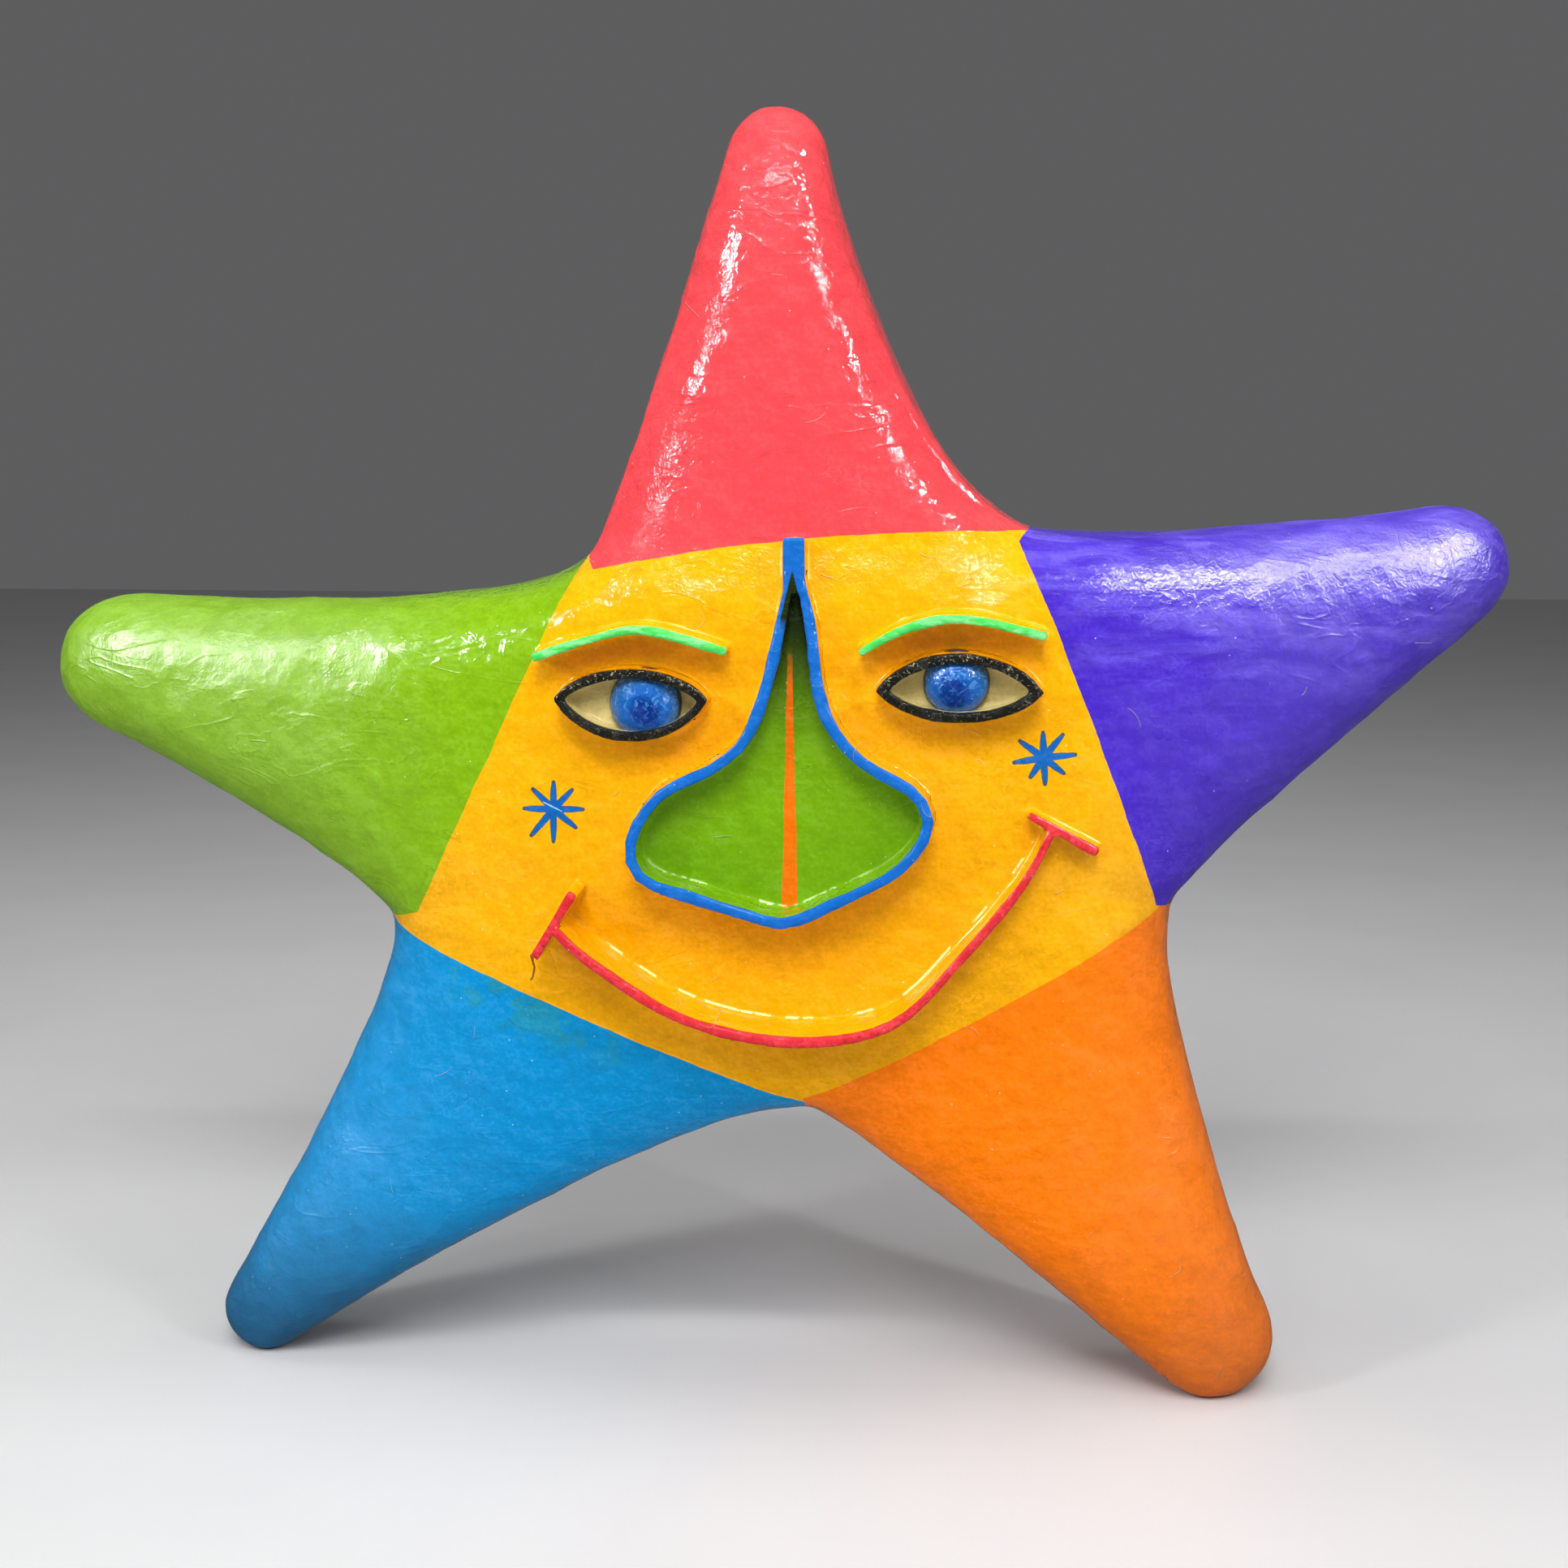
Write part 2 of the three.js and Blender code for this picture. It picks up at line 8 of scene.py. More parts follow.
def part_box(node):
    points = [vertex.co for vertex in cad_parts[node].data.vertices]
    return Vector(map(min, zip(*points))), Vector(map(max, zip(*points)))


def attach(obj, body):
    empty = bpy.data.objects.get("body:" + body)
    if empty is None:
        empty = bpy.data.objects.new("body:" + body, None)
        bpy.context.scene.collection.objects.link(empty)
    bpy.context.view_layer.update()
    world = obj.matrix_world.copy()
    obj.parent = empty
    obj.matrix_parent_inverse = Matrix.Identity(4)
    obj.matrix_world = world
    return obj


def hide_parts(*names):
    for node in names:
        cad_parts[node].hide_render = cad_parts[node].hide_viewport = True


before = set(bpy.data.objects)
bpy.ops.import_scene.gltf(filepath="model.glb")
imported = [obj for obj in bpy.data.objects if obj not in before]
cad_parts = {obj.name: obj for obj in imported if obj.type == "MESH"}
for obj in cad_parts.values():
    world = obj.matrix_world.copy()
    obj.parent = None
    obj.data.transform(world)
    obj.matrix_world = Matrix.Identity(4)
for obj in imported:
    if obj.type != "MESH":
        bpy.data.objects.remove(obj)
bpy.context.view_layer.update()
bpy.context.scene.view_settings.view_transform = "Standard"   # keeps the bright paints bright

# middle of the star: on the board's mid plane, and a known way from the hanger's patch
hanger = {"across": 4.24, "up": 47.94}   # where the patch is, in millimetres from the middle
patchLow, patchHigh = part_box("hanger_patch")
boardLow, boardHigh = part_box("core_board")
middle = ((patchLow[0] + patchHigh[0]) / 2 - hanger["across"] / 1000, (boardLow[1] + boardHigh[1]) / 2,
          (patchLow[2] + patchHigh[2]) / 2 - hanger["up"] / 1000)
middle = Vector([round(value, 6) for value in middle])   # to a thousandth of a millimetre
faceDepth = 40   # millimetres from the mid plane to the face


def onStar(across, depth, up):   # millimetres from the middle, depth towards the viewer
    return middle + Vector((across, -depth, up)) / 1000


def heading(turn, rise):   # degrees to the right of straight in front, and upwards
    turn, rise = math.radians(turn), math.radians(rise)
    return Vector((math.sin(turn) * math.cos(rise), -math.cos(turn) * math.cos(rise), math.sin(rise)))


# modelling helpers
mergeReach = 1e-5


def pick(*pieces):
    if bpy.context.object and bpy.context.object.mode != "OBJECT":
        bpy.ops.object.mode_set(mode="OBJECT")
    bpy.ops.object.select_all(action="DESELECT")
    for piece in pieces:
        piece.select_set(True)
    bpy.context.view_layer.objects.active = pieces[0]


def edit(kind="FACE"):
    bpy.ops.object.mode_set(mode="EDIT")
    bpy.ops.mesh.select_mode(type=kind)
    bpy.ops.mesh.select_all(action="DESELECT")


def done():
    bpy.ops.object.mode_set(mode="OBJECT")


def pickFaces(piece, chosen):
    pick(piece)
    edit("FACE")
    done()
    piece.data.polygons.foreach_set("select", [bool(c) for c in chosen])
    bpy.ops.object.mode_set(mode="EDIT")


def pickOpenEdges(piece):
    pick(piece)
    edit("EDGE")
    bpy.ops.mesh.select_non_manifold(extend=False, use_wire=False, use_boundary=True, use_multi_face=False,
                                     use_non_contiguous=False, use_verts=False)


def copyNode(node, name):
    piece = bpy.data.objects.new(name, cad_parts[node].data.copy())
    bpy.context.scene.collection.objects.link(piece)
    pick(piece)
    edit()
    bpy.ops.mesh.select_all(action="SELECT")
    bpy.ops.mesh.remove_doubles(threshold=mergeReach)
    done()
    return piece


def joinAll(pieces, name):
    pick(*pieces)
    bpy.ops.object.join()
    pieces[0].name = name
    return pieces[0]


def addModifier(piece, kind, **values):
    pick(piece)
    modifier = piece.modifiers.new(kind.lower(), kind)
    for key, value in values.items():
        setattr(modifier, key, value)
    bpy.ops.object.modifier_apply(modifier=modifier.name)


def addLumps(piece, name, kind, size, strength):
    texture = bpy.data.textures.new(name, kind)
    texture.noise_scale = size
    if kind == "MUSGRAVE":
        texture.musgrave_type = "RIDGED_MULTIFRACTAL"
    addModifier(piece, "DISPLACE", texture=texture, texture_coords="LOCAL", strength=strength, mid_level=0.5)


def placeInMesh():
    bpy.ops.object.transform_apply(location=True, rotation=True, scale=True)


def nodeTree(nodes, moved=None):   # one search tree over several nodes' faces, and which node each face is of
    corners, faces, owner = [], [], []
    for index, node in enumerate(nodes):
        mesh = (moved or {}).get(node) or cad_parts[node].data
        first = len(corners)
        corners += [v.co for v in mesh.vertices]
        faces += [tuple(first + i for i in f.vertices) for f in mesh.polygons]
        owner += [index] * len(mesh.polygons)
    return BVHTree.FromPolygons(corners, faces), owner


def standFor(piece, node, slot):
    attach(piece, "root")
    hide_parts(node)


# camera at the photograph's place
view = {"turn": 5.5, "rise": 10.0, "distance": 0.700, "halfFrame": 0.2898}
away = heading(view["turn"], view["rise"])
bpy.ops.object.camera_add(location=middle + away * view["distance"])
camera = bpy.context.object
camera.rotation_euler = away.to_track_quat("Z", "Y").to_euler()
camera.data.angle = 2 * math.atan(view["halfFrame"] / view["distance"])
bpy.context.scene.camera = camera
print("camera set")


# node helpers
def fill(tree, made, inputs):
    for key, value in inputs.items():
        if isinstance(value, bpy.types.NodeSocket):
            tree.links.new(value, made.inputs[key])
        else:
            made.inputs[key].default_value = value
    return made


def add(tree, kind, inputs=None, **settings):
    made = tree.nodes.new("ShaderNode" + kind)
    for key, value in settings.items():
        setattr(made, key, value)
    return fill(tree, made, inputs or {})


def calc(tree, how, *values):
    return add(tree, "Math", dict(enumerate(values)), operation=how).outputs[0]


def total(tree, *values):
    result = values[0]
    for value in values[1:]:
        result = calc(tree, "ADD", result, value)
    return result


def times(tree, *values):
    result = values[0]
    for value in values[1:]:
        result = calc(tree, "MULTIPLY", result, value)
    return result


def less(tree, value):   # what a share leaves of one
    return calc(tree, "SUBTRACT", 1, value)


def ramp(tree, value, low, high):
    return add(tree, "MapRange", {0: value, 1: low, 2: high}, interpolation_type="SMOOTHSTEP").outputs[0]


def ranged(tree, value, low, high, atLow, atHigh):
    return add(tree, "MapRange", {0: value, 1: low, 2: high, 3: atLow, 4: atHigh}).outputs[0]


def window(tree, value, start, full, fading, gone):
    return times(tree, ramp(tree, value, start, full), ramp(tree, value, gone, fading))


def mix(tree, factor, first, second):
    return add(tree, "Mix", {0: factor, 6: first, 7: second}, data_type="RGBA").outputs[2]


def noise(tree, place, scale, detail=2.0, distort=0.0, rough=0.5):
    return add(tree, "TexNoise", {"Vector": place, "Scale": scale, "Detail": detail, "Roughness": rough,
                                  "Distortion": distort}).outputs[0]


def wander(tree, place, scale, reach, detail=2.0, distort=0.0):   # noise about nought, so much either way
    return calc(tree, "MULTIPLY_ADD", noise(tree, place, scale, detail, distort), 2 * reach, -reach)


def patches(tree, place, scale, low, high, detail=2.0, distort=0.0, rough=0.5):   # noise over a limit
    return ramp(tree, noise(tree, place, scale, detail, distort, rough), low, high)


def split(tree, place):
    return add(tree, "SeparateXYZ", {0: place}).outputs


def vector(tree, how, *values):
    return add(tree, "VectorMath", dict(enumerate(values)), operation=how).outputs


def along(tree, place, line):
    return vector(tree, "DOT_PRODUCT", place, line)["Value"]


def distance(tree, place, other):
    return vector(tree, "DISTANCE", place, other)["Value"]


def flatten(tree, place):   # seen from straight in front
    return vector(tree, "MULTIPLY", place, (1, 0, 1))[0]


def stretched(tree, place, turned, scale):
    return add(tree, "Mapping", {"Vector": place, "Rotation": turned, "Scale": scale}).outputs[0]


def bendPlace(tree, place, scale, detail, reach):
    shift = add(tree, "TexNoise", {"Vector": place, "Scale": scale, "Detail": detail}).outputs["Color"]
    return vector(tree, "MULTIPLY_ADD", shift, (reach, reach, reach), place)[0]


def newGroup(name, inputs, outputs):
    tree = bpy.data.node_groups.new(name, "ShaderNodeTree")
    for way, sockets in (("INPUT", inputs), ("OUTPUT", outputs)):
        for label, kind in sockets.items():
            tree.interface.new_socket(name=label, in_out=way, socket_type="NodeSocket" + kind)
    given = tree.nodes.new("NodeGroupInput").outputs
    gives = tree.nodes.new("NodeGroupOutput").inputs
    return tree, given, gives


def use(tree, group, inputs):
    made = tree.nodes.new("ShaderNodeGroup")
    made.node_tree = group
    return fill(tree, made, inputs).outputs


def newMaterial(name, origin=Vector((0, 0, 0))):   # its place is in millimetres from the origin
    material = bpy.data.materials.new(name)
    material.use_nodes = True
    tree = material.node_tree
    place = add(tree, "TexCoord").outputs["Object"]
    place = add(tree, "Mapping", {"Vector": place, "Location": -origin * 1000,
                                  "Scale": (1000, 1000, 1000)}).outputs[0]
    return material, tree, tree.nodes["Principled BSDF"].inputs, place


def paint(red, green, blue):   # screen colour to shader colour
    def channel(value):
        value /= 255
        return value / 12.92 if value <= 0.04045 else ((value + 0.055) / 1.055) ** 2.4
    return (channel(red), channel(green), channel(blue), 1)


paints = {
    "yellow": paint(234, 166, 0), "red": paint(228, 68, 74), "green": paint(119, 165, 12),
    "blue": paint(4, 136, 198), "orange": paint(242, 119, 1), "violet": paint(66, 38, 178),
    "starBlue": paint(15, 94, 172), "olive": paint(84, 72, 18),
}

# In the values below, places and heights are in millimetres from the middle of the star. A noise is its
# scale, then its reach or its two limits, then its detail and distortion.

# varnish that dried in fine crinkles, pooled near the red border and satin towards the tips
varnish = {"fine": (0.45, 0.075, 1, 1.2), "tiny": (1.3, 0.010, 1), "waves": (0.22, 0.07, 1),
           "thickIn": (0.03, 0.35, 0.65), "thin": 0.5, "thicker": 0.7, "pooled": 1.1,
           "poolBand": (60, 76, 90, 104), "poolSpot": (-44, -35, 112), "poolReach": (42, 14),
           "dullIn": (0.05, 0.42, 0.72, 3), "gloss": 0.045, "dull": 0.07,
           "satin": 0.34, "satinFrom": 80, "satinTo": 190, "satinEdge": (0.04, 30, 3)}
crinkledVarnish, given, gives = newGroup("crinkledVarnish", {"Place": "Vector", "Amount": "Float"},
                                         {"Height": "Float", "Roughness": "Float"})
tree, place = crinkledVarnish, given["Place"]
spot = split(tree, place)
nearSpot = ramp(tree, distance(tree, place, varnish["poolSpot"]), *varnish["poolReach"])
pooled = calc(tree, "MAXIMUM", window(tree, spot[2], *varnish["poolBand"]), nearSpot)
thick = patches(tree, place, *varnish["thickIn"])
thick = total(tree, calc(tree, "MULTIPLY_ADD", thick, varnish["thicker"], varnish["thin"]),
              times(tree, pooled, varnish["pooled"]))
crinkles = total(tree, wander(tree, place, *varnish["fine"]), wander(tree, place, *varnish["tiny"]))
height = total(tree, times(tree, crinkles, thick), wander(tree, place, *varnish["waves"]))
tree.links.new(times(tree, height, given["Amount"]), gives["Height"])
dull = patches(tree, place, *varnish["dullIn"])
dull = calc(tree, "MULTIPLY_ADD", dull, varnish["dull"], varnish["gloss"])
outer = total(tree, calc(tree, "ABSOLUTE", spot[0]), wander(tree, place, *varnish["satinEdge"]))
outer = ramp(tree, outer, varnish["satinFrom"], varnish["satinTo"])
tree.links.new(calc(tree, "MULTIPLY_ADD", outer, varnish["satin"], dull), gives["Roughness"])

# paper that was wetted, crumpled and smoothed down again: facets, soft waves and a few sharp folds
crumple = {"bend": (0.06, 3.0, 16), "facets": ((0.04, 0.8), (0.11, 0.3)), "waves": (0.1, 0.18, 1),
           "foldTurn": (0.2, 0.5, 0.1), "foldScale": (0.03, 0.05, 0.075), "foldNoise": (1.0, 2, 0.8),
           "foldThin": 12, "foldHeight": 0.17, "foldsIn": (0.025, 0.42, 0.62),
           "tips": ((-2, 221), (-247, 42), (-206, -214), (162, -208), (231, 80)), "tipDepth": 8,
           "tipReach": (60, 25), "tipFolds": 0.6}
crumpledPaper, given, gives = newGroup("crumpledPaper", {"Place": "Vector", "Amount": "Float"},
                                       {"Height": "Float"})
tree, place = crumpledPaper, given["Place"]
bent = bendPlace(tree, place, *crumple["bend"])
facets = []
for scale, height in crumple["facets"]:
    facet = add(tree, "TexVoronoi", {"Vector": bent, "Scale": scale}).outputs["Distance"]
    facets.append(times(tree, facet, height))
worm = noise(tree, stretched(tree, place, crumple["foldTurn"], crumple["foldScale"]), *crumple["foldNoise"])
fold = calc(tree, "MULTIPLY_ADD", worm, crumple["foldThin"], -crumple["foldThin"] / 2)
fold = less(tree, calc(tree, "ABSOLUTE", fold))
fold = calc(tree, "POWER", calc(tree, "MAXIMUM", fold, 0), 2)
toTip = None   # the paper is gathered in folds round each tip
for across, up in crumple["tips"]:
    off = distance(tree, place, (across, -crumple["tipDepth"], up))
    toTip = calc(tree, "MINIMUM", toTip, off) if toTip else off
gathered = times(tree, ramp(tree, toTip, *crumple["tipReach"]), crumple["tipFolds"])
folded = calc(tree, "MAXIMUM", patches(tree, place, *crumple["foldsIn"]), gathered)
fold = times(tree, fold, folded, crumple["foldHeight"])
height = total(tree, wander(tree, place, *crumple["waves"]), fold, *facets)
tree.links.new(times(tree, height, given["Amount"]), gives["Height"])

# torn strips of paper under the paint, each a little higher or lower than the next
laid = {"tear": (0.13, 4.0, 14),
        "layers": (((0.3, 0.7, 0.2), (0.022, 0.03, 0.06), 0.24),   # turn, scale and height
                   ((0.1, -0.5, 1.1), (0.05, 0.03, 0.02), 0.18))}
paperStrips, given, gives = newGroup("paperStrips", {"Place": "Vector"}, {"Height": "Float"})
tree = paperStrips
torn = bendPlace(tree, given["Place"], *laid["tear"])
layers = []
for turned, scale, height in laid["layers"]:
    cell = add(tree, "TexVoronoi", {"Vector": stretched(tree, torn, turned, scale), "Scale": 1.0})
    shade = add(tree, "SeparateColor", {0: cell.outputs["Color"]}).outputs[0]
    layers.append(times(tree, shade, height))
tree.links.new(total(tree, *layers), gives["Height"])

# short curved brush hairs caught in the paint
hairs = {"apart": 34, "turn": 6.28, "bend": 0.5, "leastBend": -0.28, "reach": 3.2, "leastReach": 1.2,
         "half": (0.36, 0.08), "end": 0.5, "some": (0.38, 0.42)}
caughtHairs, given, gives = newGroup("caughtHairs", {"Place": "Vector"}, {"Mask": "Float"})
tree = caughtHairs
spot = split(tree, given["Place"])
flat = add(tree, "CombineXYZ", {0: spot[0], 1: spot[2]}).outputs[0]
cell = add(tree, "TexVoronoi", {"Vector": flat, "Scale": 1 / hairs["apart"]}, voronoi_dimensions="2D")
chance = add(tree, "SeparateColor", {0: cell.outputs["Color"]}).outputs
local = vector(tree, "SUBTRACT", flat, cell.outputs["Position"])[0]
turned = add(tree, "VectorRotate", {"Vector": local, "Angle": times(tree, chance[0], hairs["turn"])},
             rotation_type="Z_AXIS").outputs[0]
local = split(tree, turned)
bend = calc(tree, "MULTIPLY_ADD", chance[2], hairs["bend"], hairs["leastBend"])
off = calc(tree, "MULTIPLY_ADD", times(tree, local[0], local[0]), bend, local[1])
reach = calc(tree, "MULTIPLY_ADD", chance[1], hairs["reach"], hairs["leastReach"])
thin = ramp(tree, calc(tree, "ABSOLUTE", off), *hairs["half"])
short = ramp(tree, calc(tree, "SUBTRACT", calc(tree, "ABSOLUTE", local[0]), reach), 0.0, -hairs["end"])
tree.links.new(times(tree, thin, short, ramp(tree, chance[2], *hairs["some"])), gives["Mask"])

# the top of the face rolls back to meet the red arm
lean = {"back": -6.0, "from": 64, "to": 92, "end": 205, "middle": 6, "side": 62, "fade": 34,
        "front": (-14, -24)}
rolledBrow, given, gives = newGroup("rolledBrow", {"Place": "Vector"}, {"Height": "Float"})
tree = rolledBrow
spot = split(tree, given["Place"])
across = calc(tree, "ABSOLUTE", calc(tree, "ADD", spot[0], -lean["middle"]))
roll = times(tree, window(tree, spot[2], lean["from"], lean["to"], lean["to"], lean["end"]),
             ramp(tree, across, lean["side"] + lean["fade"], lean["side"]),
             ramp(tree, spot[1], *lean["front"]))
tree.links.new(times(tree, roll, lean["back"]), gives["Height"])

# brushed paint: streaks, cloudy coats, painted light and shade of dents and creases in the paper, painted
# shade on the feet, a pale painted sheen and pale specks
brush = {"streakTurn": (0, 0.5, 0), "streakScale": (0.05, 0.3, 0.8), "streakNoise": (1.0, 3),
         "streak": 0.14, "least": 0.93, "clouds": (0.022, 0.12, 3), "grain": (0.7, 0.16, 3),
         "mottle": (0.2, 0.08, 3), "paintedRelief": ((0.34, 0.24), (0.1, 0.3)), "paintedReliefShift": (0.1, 0, 0.3),
         "creaseTurn": (0.4, 0.9, 0.3), "creaseScale": (0.035, 0.05, 0.08), "creaseNoise": (1.0, 4, 0.7),
         "creaseThin": 90, "creaseShadeAndLight": ((0.5, -0.12), (0.513, 0.14)), "creasesIn": (0.03, 0.46, 0.6),
         "footShadeFrom": -222, "footShadeTo": -140, "footShadeEdge": (0.03, 14, 4), "footShadeSides": (-60, 20, 0.6, 0.26),
         "brightest": 1.08, "lift": 0.1, "liftTo": (1, 0.97, 0.9, 1),
         "specks": 0.15, "speckSize": (0.05, 0.02), "speckShow": 0.5, "speck": (0.9, 0.85, 0.75, 1)}
brushedPaint, given, gives = newGroup("brushedPaint", {"Color": "Color", "Place": "Vector"},
                                      {"Color": "Color"})
tree, place = brushedPaint, given["Place"]
spot = split(tree, place)
streak = noise(tree, stretched(tree, place, brush["streakTurn"], brush["streakScale"]), *brush["streakNoise"])
value = total(tree, calc(tree, "MULTIPLY_ADD", streak, brush["streak"], brush["least"]),
              *[wander(tree, place, *brush[kind]) for kind in ("clouds", "grain", "mottle")])
for scale, depth in brush["paintedRelief"]:   # painted light and shade of dents in the paper, paler on their lower side
    reliefAbove = vector(tree, "ADD", place, [way / scale for way in brush["paintedReliefShift"]])[0]
    reliefShading = calc(tree, "SUBTRACT", noise(tree, place, scale), noise(tree, reliefAbove, scale))
    value = calc(tree, "MULTIPLY_ADD", reliefShading, depth, value)
worm = noise(tree, stretched(tree, place, brush["creaseTurn"], brush["creaseScale"]), *brush["creaseNoise"])
creased = patches(tree, place, *brush["creasesIn"])
for shift, tone in brush["creaseShadeAndLight"]:   # painted shade and highlight: a dark line with a lit one beside it
    line = times(tree, calc(tree, "SUBTRACT", worm, shift), brush["creaseThin"])
    line = calc(tree, "MAXIMUM", less(tree, calc(tree, "ABSOLUTE", line)), 0)
    value = calc(tree, "MULTIPLY_ADD", times(tree, line, creased), tone, value)
# painted shade: darker towards the tips of the lower feet
footShadeLevel = total(tree, spot[2], wander(tree, place, *brush["footShadeEdge"]))
footShade = less(tree, ramp(tree, footShadeLevel, brush["footShadeFrom"], brush["footShadeTo"]))
footShade = times(tree, footShade, ranged(tree, spot[0], *brush["footShadeSides"]))   # painted shade, most on the blue foot
value = times(tree, value, less(tree, footShade))
toned = add(tree, "HueSaturation", {"Value": calc(tree, "MINIMUM", value, brush["brightest"]),
                                    "Color": given["Color"]}).outputs[0]
# painted sheen: where the paint comes out brighter than its own colour it turns paler
lift = calc(tree, "MAXIMUM", calc(tree, "ADD", value, -1.0), 0)
toned = mix(tree, times(tree, lift, brush["lift"]), toned, brush["liftTo"])
speck = add(tree, "TexVoronoi", {"Vector": place, "Scale": brush["specks"]}).outputs["Distance"]
speck = times(tree, ramp(tree, speck, *brush["speckSize"]), brush["speckShow"])
tree.links.new(mix(tree, speck, toned, brush["speck"]), gives["Color"])

# where each arm's colour starts: a bowed line between two ends, kept between the notches beside it
borders = {
    "red": {"ends": ((86, 94), (-71, 79)), "bow": -5.0, "notches": ((88, 95.4), (-68.9, 86))},
    "green": {"ends": ((-71, 79), (-134, -52)), "bow": 0.5, "notches": ((-68.9, 86), (-146.8, -48.4))},
    "blue": {"ends": ((-134, -52), (8, -111)), "bow": -1.0, "notches": ((-146.8, -48.4), (11.1, -120.3))},
    "orange": {"ends": ((8, -111), (134.5, -37)), "bow": -2.6, "notches": ((11.1, -120.3), (142.6, -38.1))},
    "violet": {"ends": ((134.5, -37), (82, 94)), "bow": -1.7, "notches": ((142.6, -38.1), (88, 95.4))},
}
hand = {"slow": (0.045, 0.9), "quick": (0.35, 0.25), "blur": 0.18}
paintBorders, given, gives = newGroup("paintBorders", {"Place": "Vector"}, {arm: "Float" for arm in borders})
tree, place = paintBorders, given["Place"]
wobble = total(tree, wander(tree, place, *hand["slow"]), wander(tree, place, *hand["quick"]))
for arm, border in borders.items():
    start, end = [Vector((x, 0, z)) for x, z in border["ends"]]
    run = (end - start).normalized()
    out = Vector((run.z, 0, -run.x))   # the borders go round to the left, so outwards is to the right
    centre = (start + end) / 2
    share = calc(tree, "SUBTRACT", along(tree, place, run), centre.dot(run))
    share = calc(tree, "DIVIDE", share, (end - start).length / 2)
    arch = calc(tree, "MULTIPLY_ADD", times(tree, share, share), -border["bow"], border["bow"])
    beyond = total(tree, along(tree, place, out), -centre.dot(out), arch, wobble)
    for side, (x, z) in zip((1, -1), border["notches"]):
        edge = Vector((-z, 0, x)).normalized() * side
        within = total(tree, along(tree, place, edge), times(tree, wobble, side))
        beyond = calc(tree, "MINIMUM", beyond, within)
    tree.links.new(ramp(tree, beyond, -hand["blur"], hand["blur"]), gives[arm])

# one stroke of a loaded brush from one place to another
strokes = {"wobble": (0.5, 0.22), "half": 0.5, "taper": -0.22, "taperPower": 3, "blur": 0.14,
           "edge": (-0.5, -0.05)}
brushStroke, given, gives = newGroup("brushStroke", {"Place": "Vector", "From": "Vector", "To": "Vector",
                                                     "Width": "Float"},
                                     {"Mask": "Float", "Share": "Float", "Edge": "Float"})
tree, place = brushStroke, given["Place"]
reach = vector(tree, "SUBTRACT", given["To"], given["From"])[0]
local = vector(tree, "SUBTRACT", flatten(tree, place), given["From"])[0]
share = calc(tree, "DIVIDE", along(tree, local, reach), along(tree, reach, reach))
share = add(tree, "Clamp", {0: share}).outputs[0]
nearest = add(tree, "VectorMath", {0: reach, "Scale": share}, operation="SCALE").outputs[0]
off = total(tree, distance(tree, local, nearest), wander(tree, place, *strokes["wobble"]))
half = calc(tree, "POWER", share, strokes["taperPower"])
half = times(tree, given["Width"], calc(tree, "MULTIPLY_ADD", half, strokes["taper"], strokes["half"]))
past = calc(tree, "SUBTRACT", off, half)
tree.links.new(ramp(tree, past, strokes["blur"], -strokes["blur"]), gives["Mask"])
tree.links.new(ramp(tree, past, *strokes["edge"]), gives["Edge"])
tree.links.new(share, gives["Share"])

# the painted edge of a card strip: what stands further out than a level
edgeWobble = (0.25, 0.35)
cardEdge, given, gives = newGroup("cardEdge", {"Place": "Vector", "Level": "Float", "Blur": "Float"},
                                  {"Mask": "Float"})
tree, place = cardEdge, given["Place"]
depth = total(tree, times(tree, split(tree, place)[1], -1), wander(tree, place, *edgeWobble),
              times(tree, given["Level"], -1))
tree.links.new(ramp(tree, depth, times(tree, given["Blur"], -1), given["Blur"]), gives["Mask"])

# the blue coat is thin near its border and lets some green through
thinCoat = {"out": (-0.38, 0, -0.925), "at": -112, "edge": (0.05, 9, 4), "near": (9, -3),
            "across": (-128, -110, -66, -48), "in": (0.09, 0.44, 0.58, 3), "show": 0.6,
            "shade": paint(38, 140, 150)}
thinBlue, given, gives = newGroup("thinBlue", {"Place": "Vector"}, {"Color": "Color"})
tree, place = thinBlue, given["Place"]
near = total(tree, along(tree, place, thinCoat["out"]), thinCoat["at"],
             wander(tree, place, *thinCoat["edge"]))
worn = times(tree, ramp(tree, near, *thinCoat["near"]),
             window(tree, split(tree, place)[0], *thinCoat["across"]),
             patches(tree, place, *thinCoat["in"]), thinCoat["show"])
tree.links.new(mix(tree, worn, paints["blue"], thinCoat["shade"]), gives["Color"])

# the violet coat has paler dry-brushed streaks, and a painted sheen makes them stronger along its upper side
dryBrushAndSheen = {"turn": (0, -0.2, 0), "scale": (0.025, 0.08, 0.11), "streaks": (1.0, 0.4, 0.68, 4, 1.0, 0.6),
           "edge": (0.03, 22, 3), "from": 20, "to": 80, "upper": 0.44, "lower": 0.05,
           "shade": paint(120, 104, 222)}
violetDryBrushAndSheen, given, gives = newGroup("violetDryBrushAndSheen", {"Place": "Vector"}, {"Color": "Color"})
tree, place = violetDryBrushAndSheen, given["Place"]
# painted sheen: the streaks show more on the upper side
upper = total(tree, split(tree, place)[2], wander(tree, place, *dryBrushAndSheen["edge"]))
upper = ramp(tree, upper, dryBrushAndSheen["from"], dryBrushAndSheen["to"])
upper = calc(tree, "MULTIPLY_ADD", upper, dryBrushAndSheen["upper"], dryBrushAndSheen["lower"])
streaks = patches(tree, stretched(tree, place, dryBrushAndSheen["turn"], dryBrushAndSheen["scale"]), *dryBrushAndSheen["streaks"])
tree.links.new(mix(tree, times(tree, streaks, upper), paints["violet"], dryBrushAndSheen["shade"]), gives["Color"])
print("paint groups made")


# painted paper: brushed paint over strips and crumples, with hairs, under varnish
coated = {"hairShow": 0.12, "hairShade": (0.8, 0.78, 0.7, 1), "bump": 0.001}


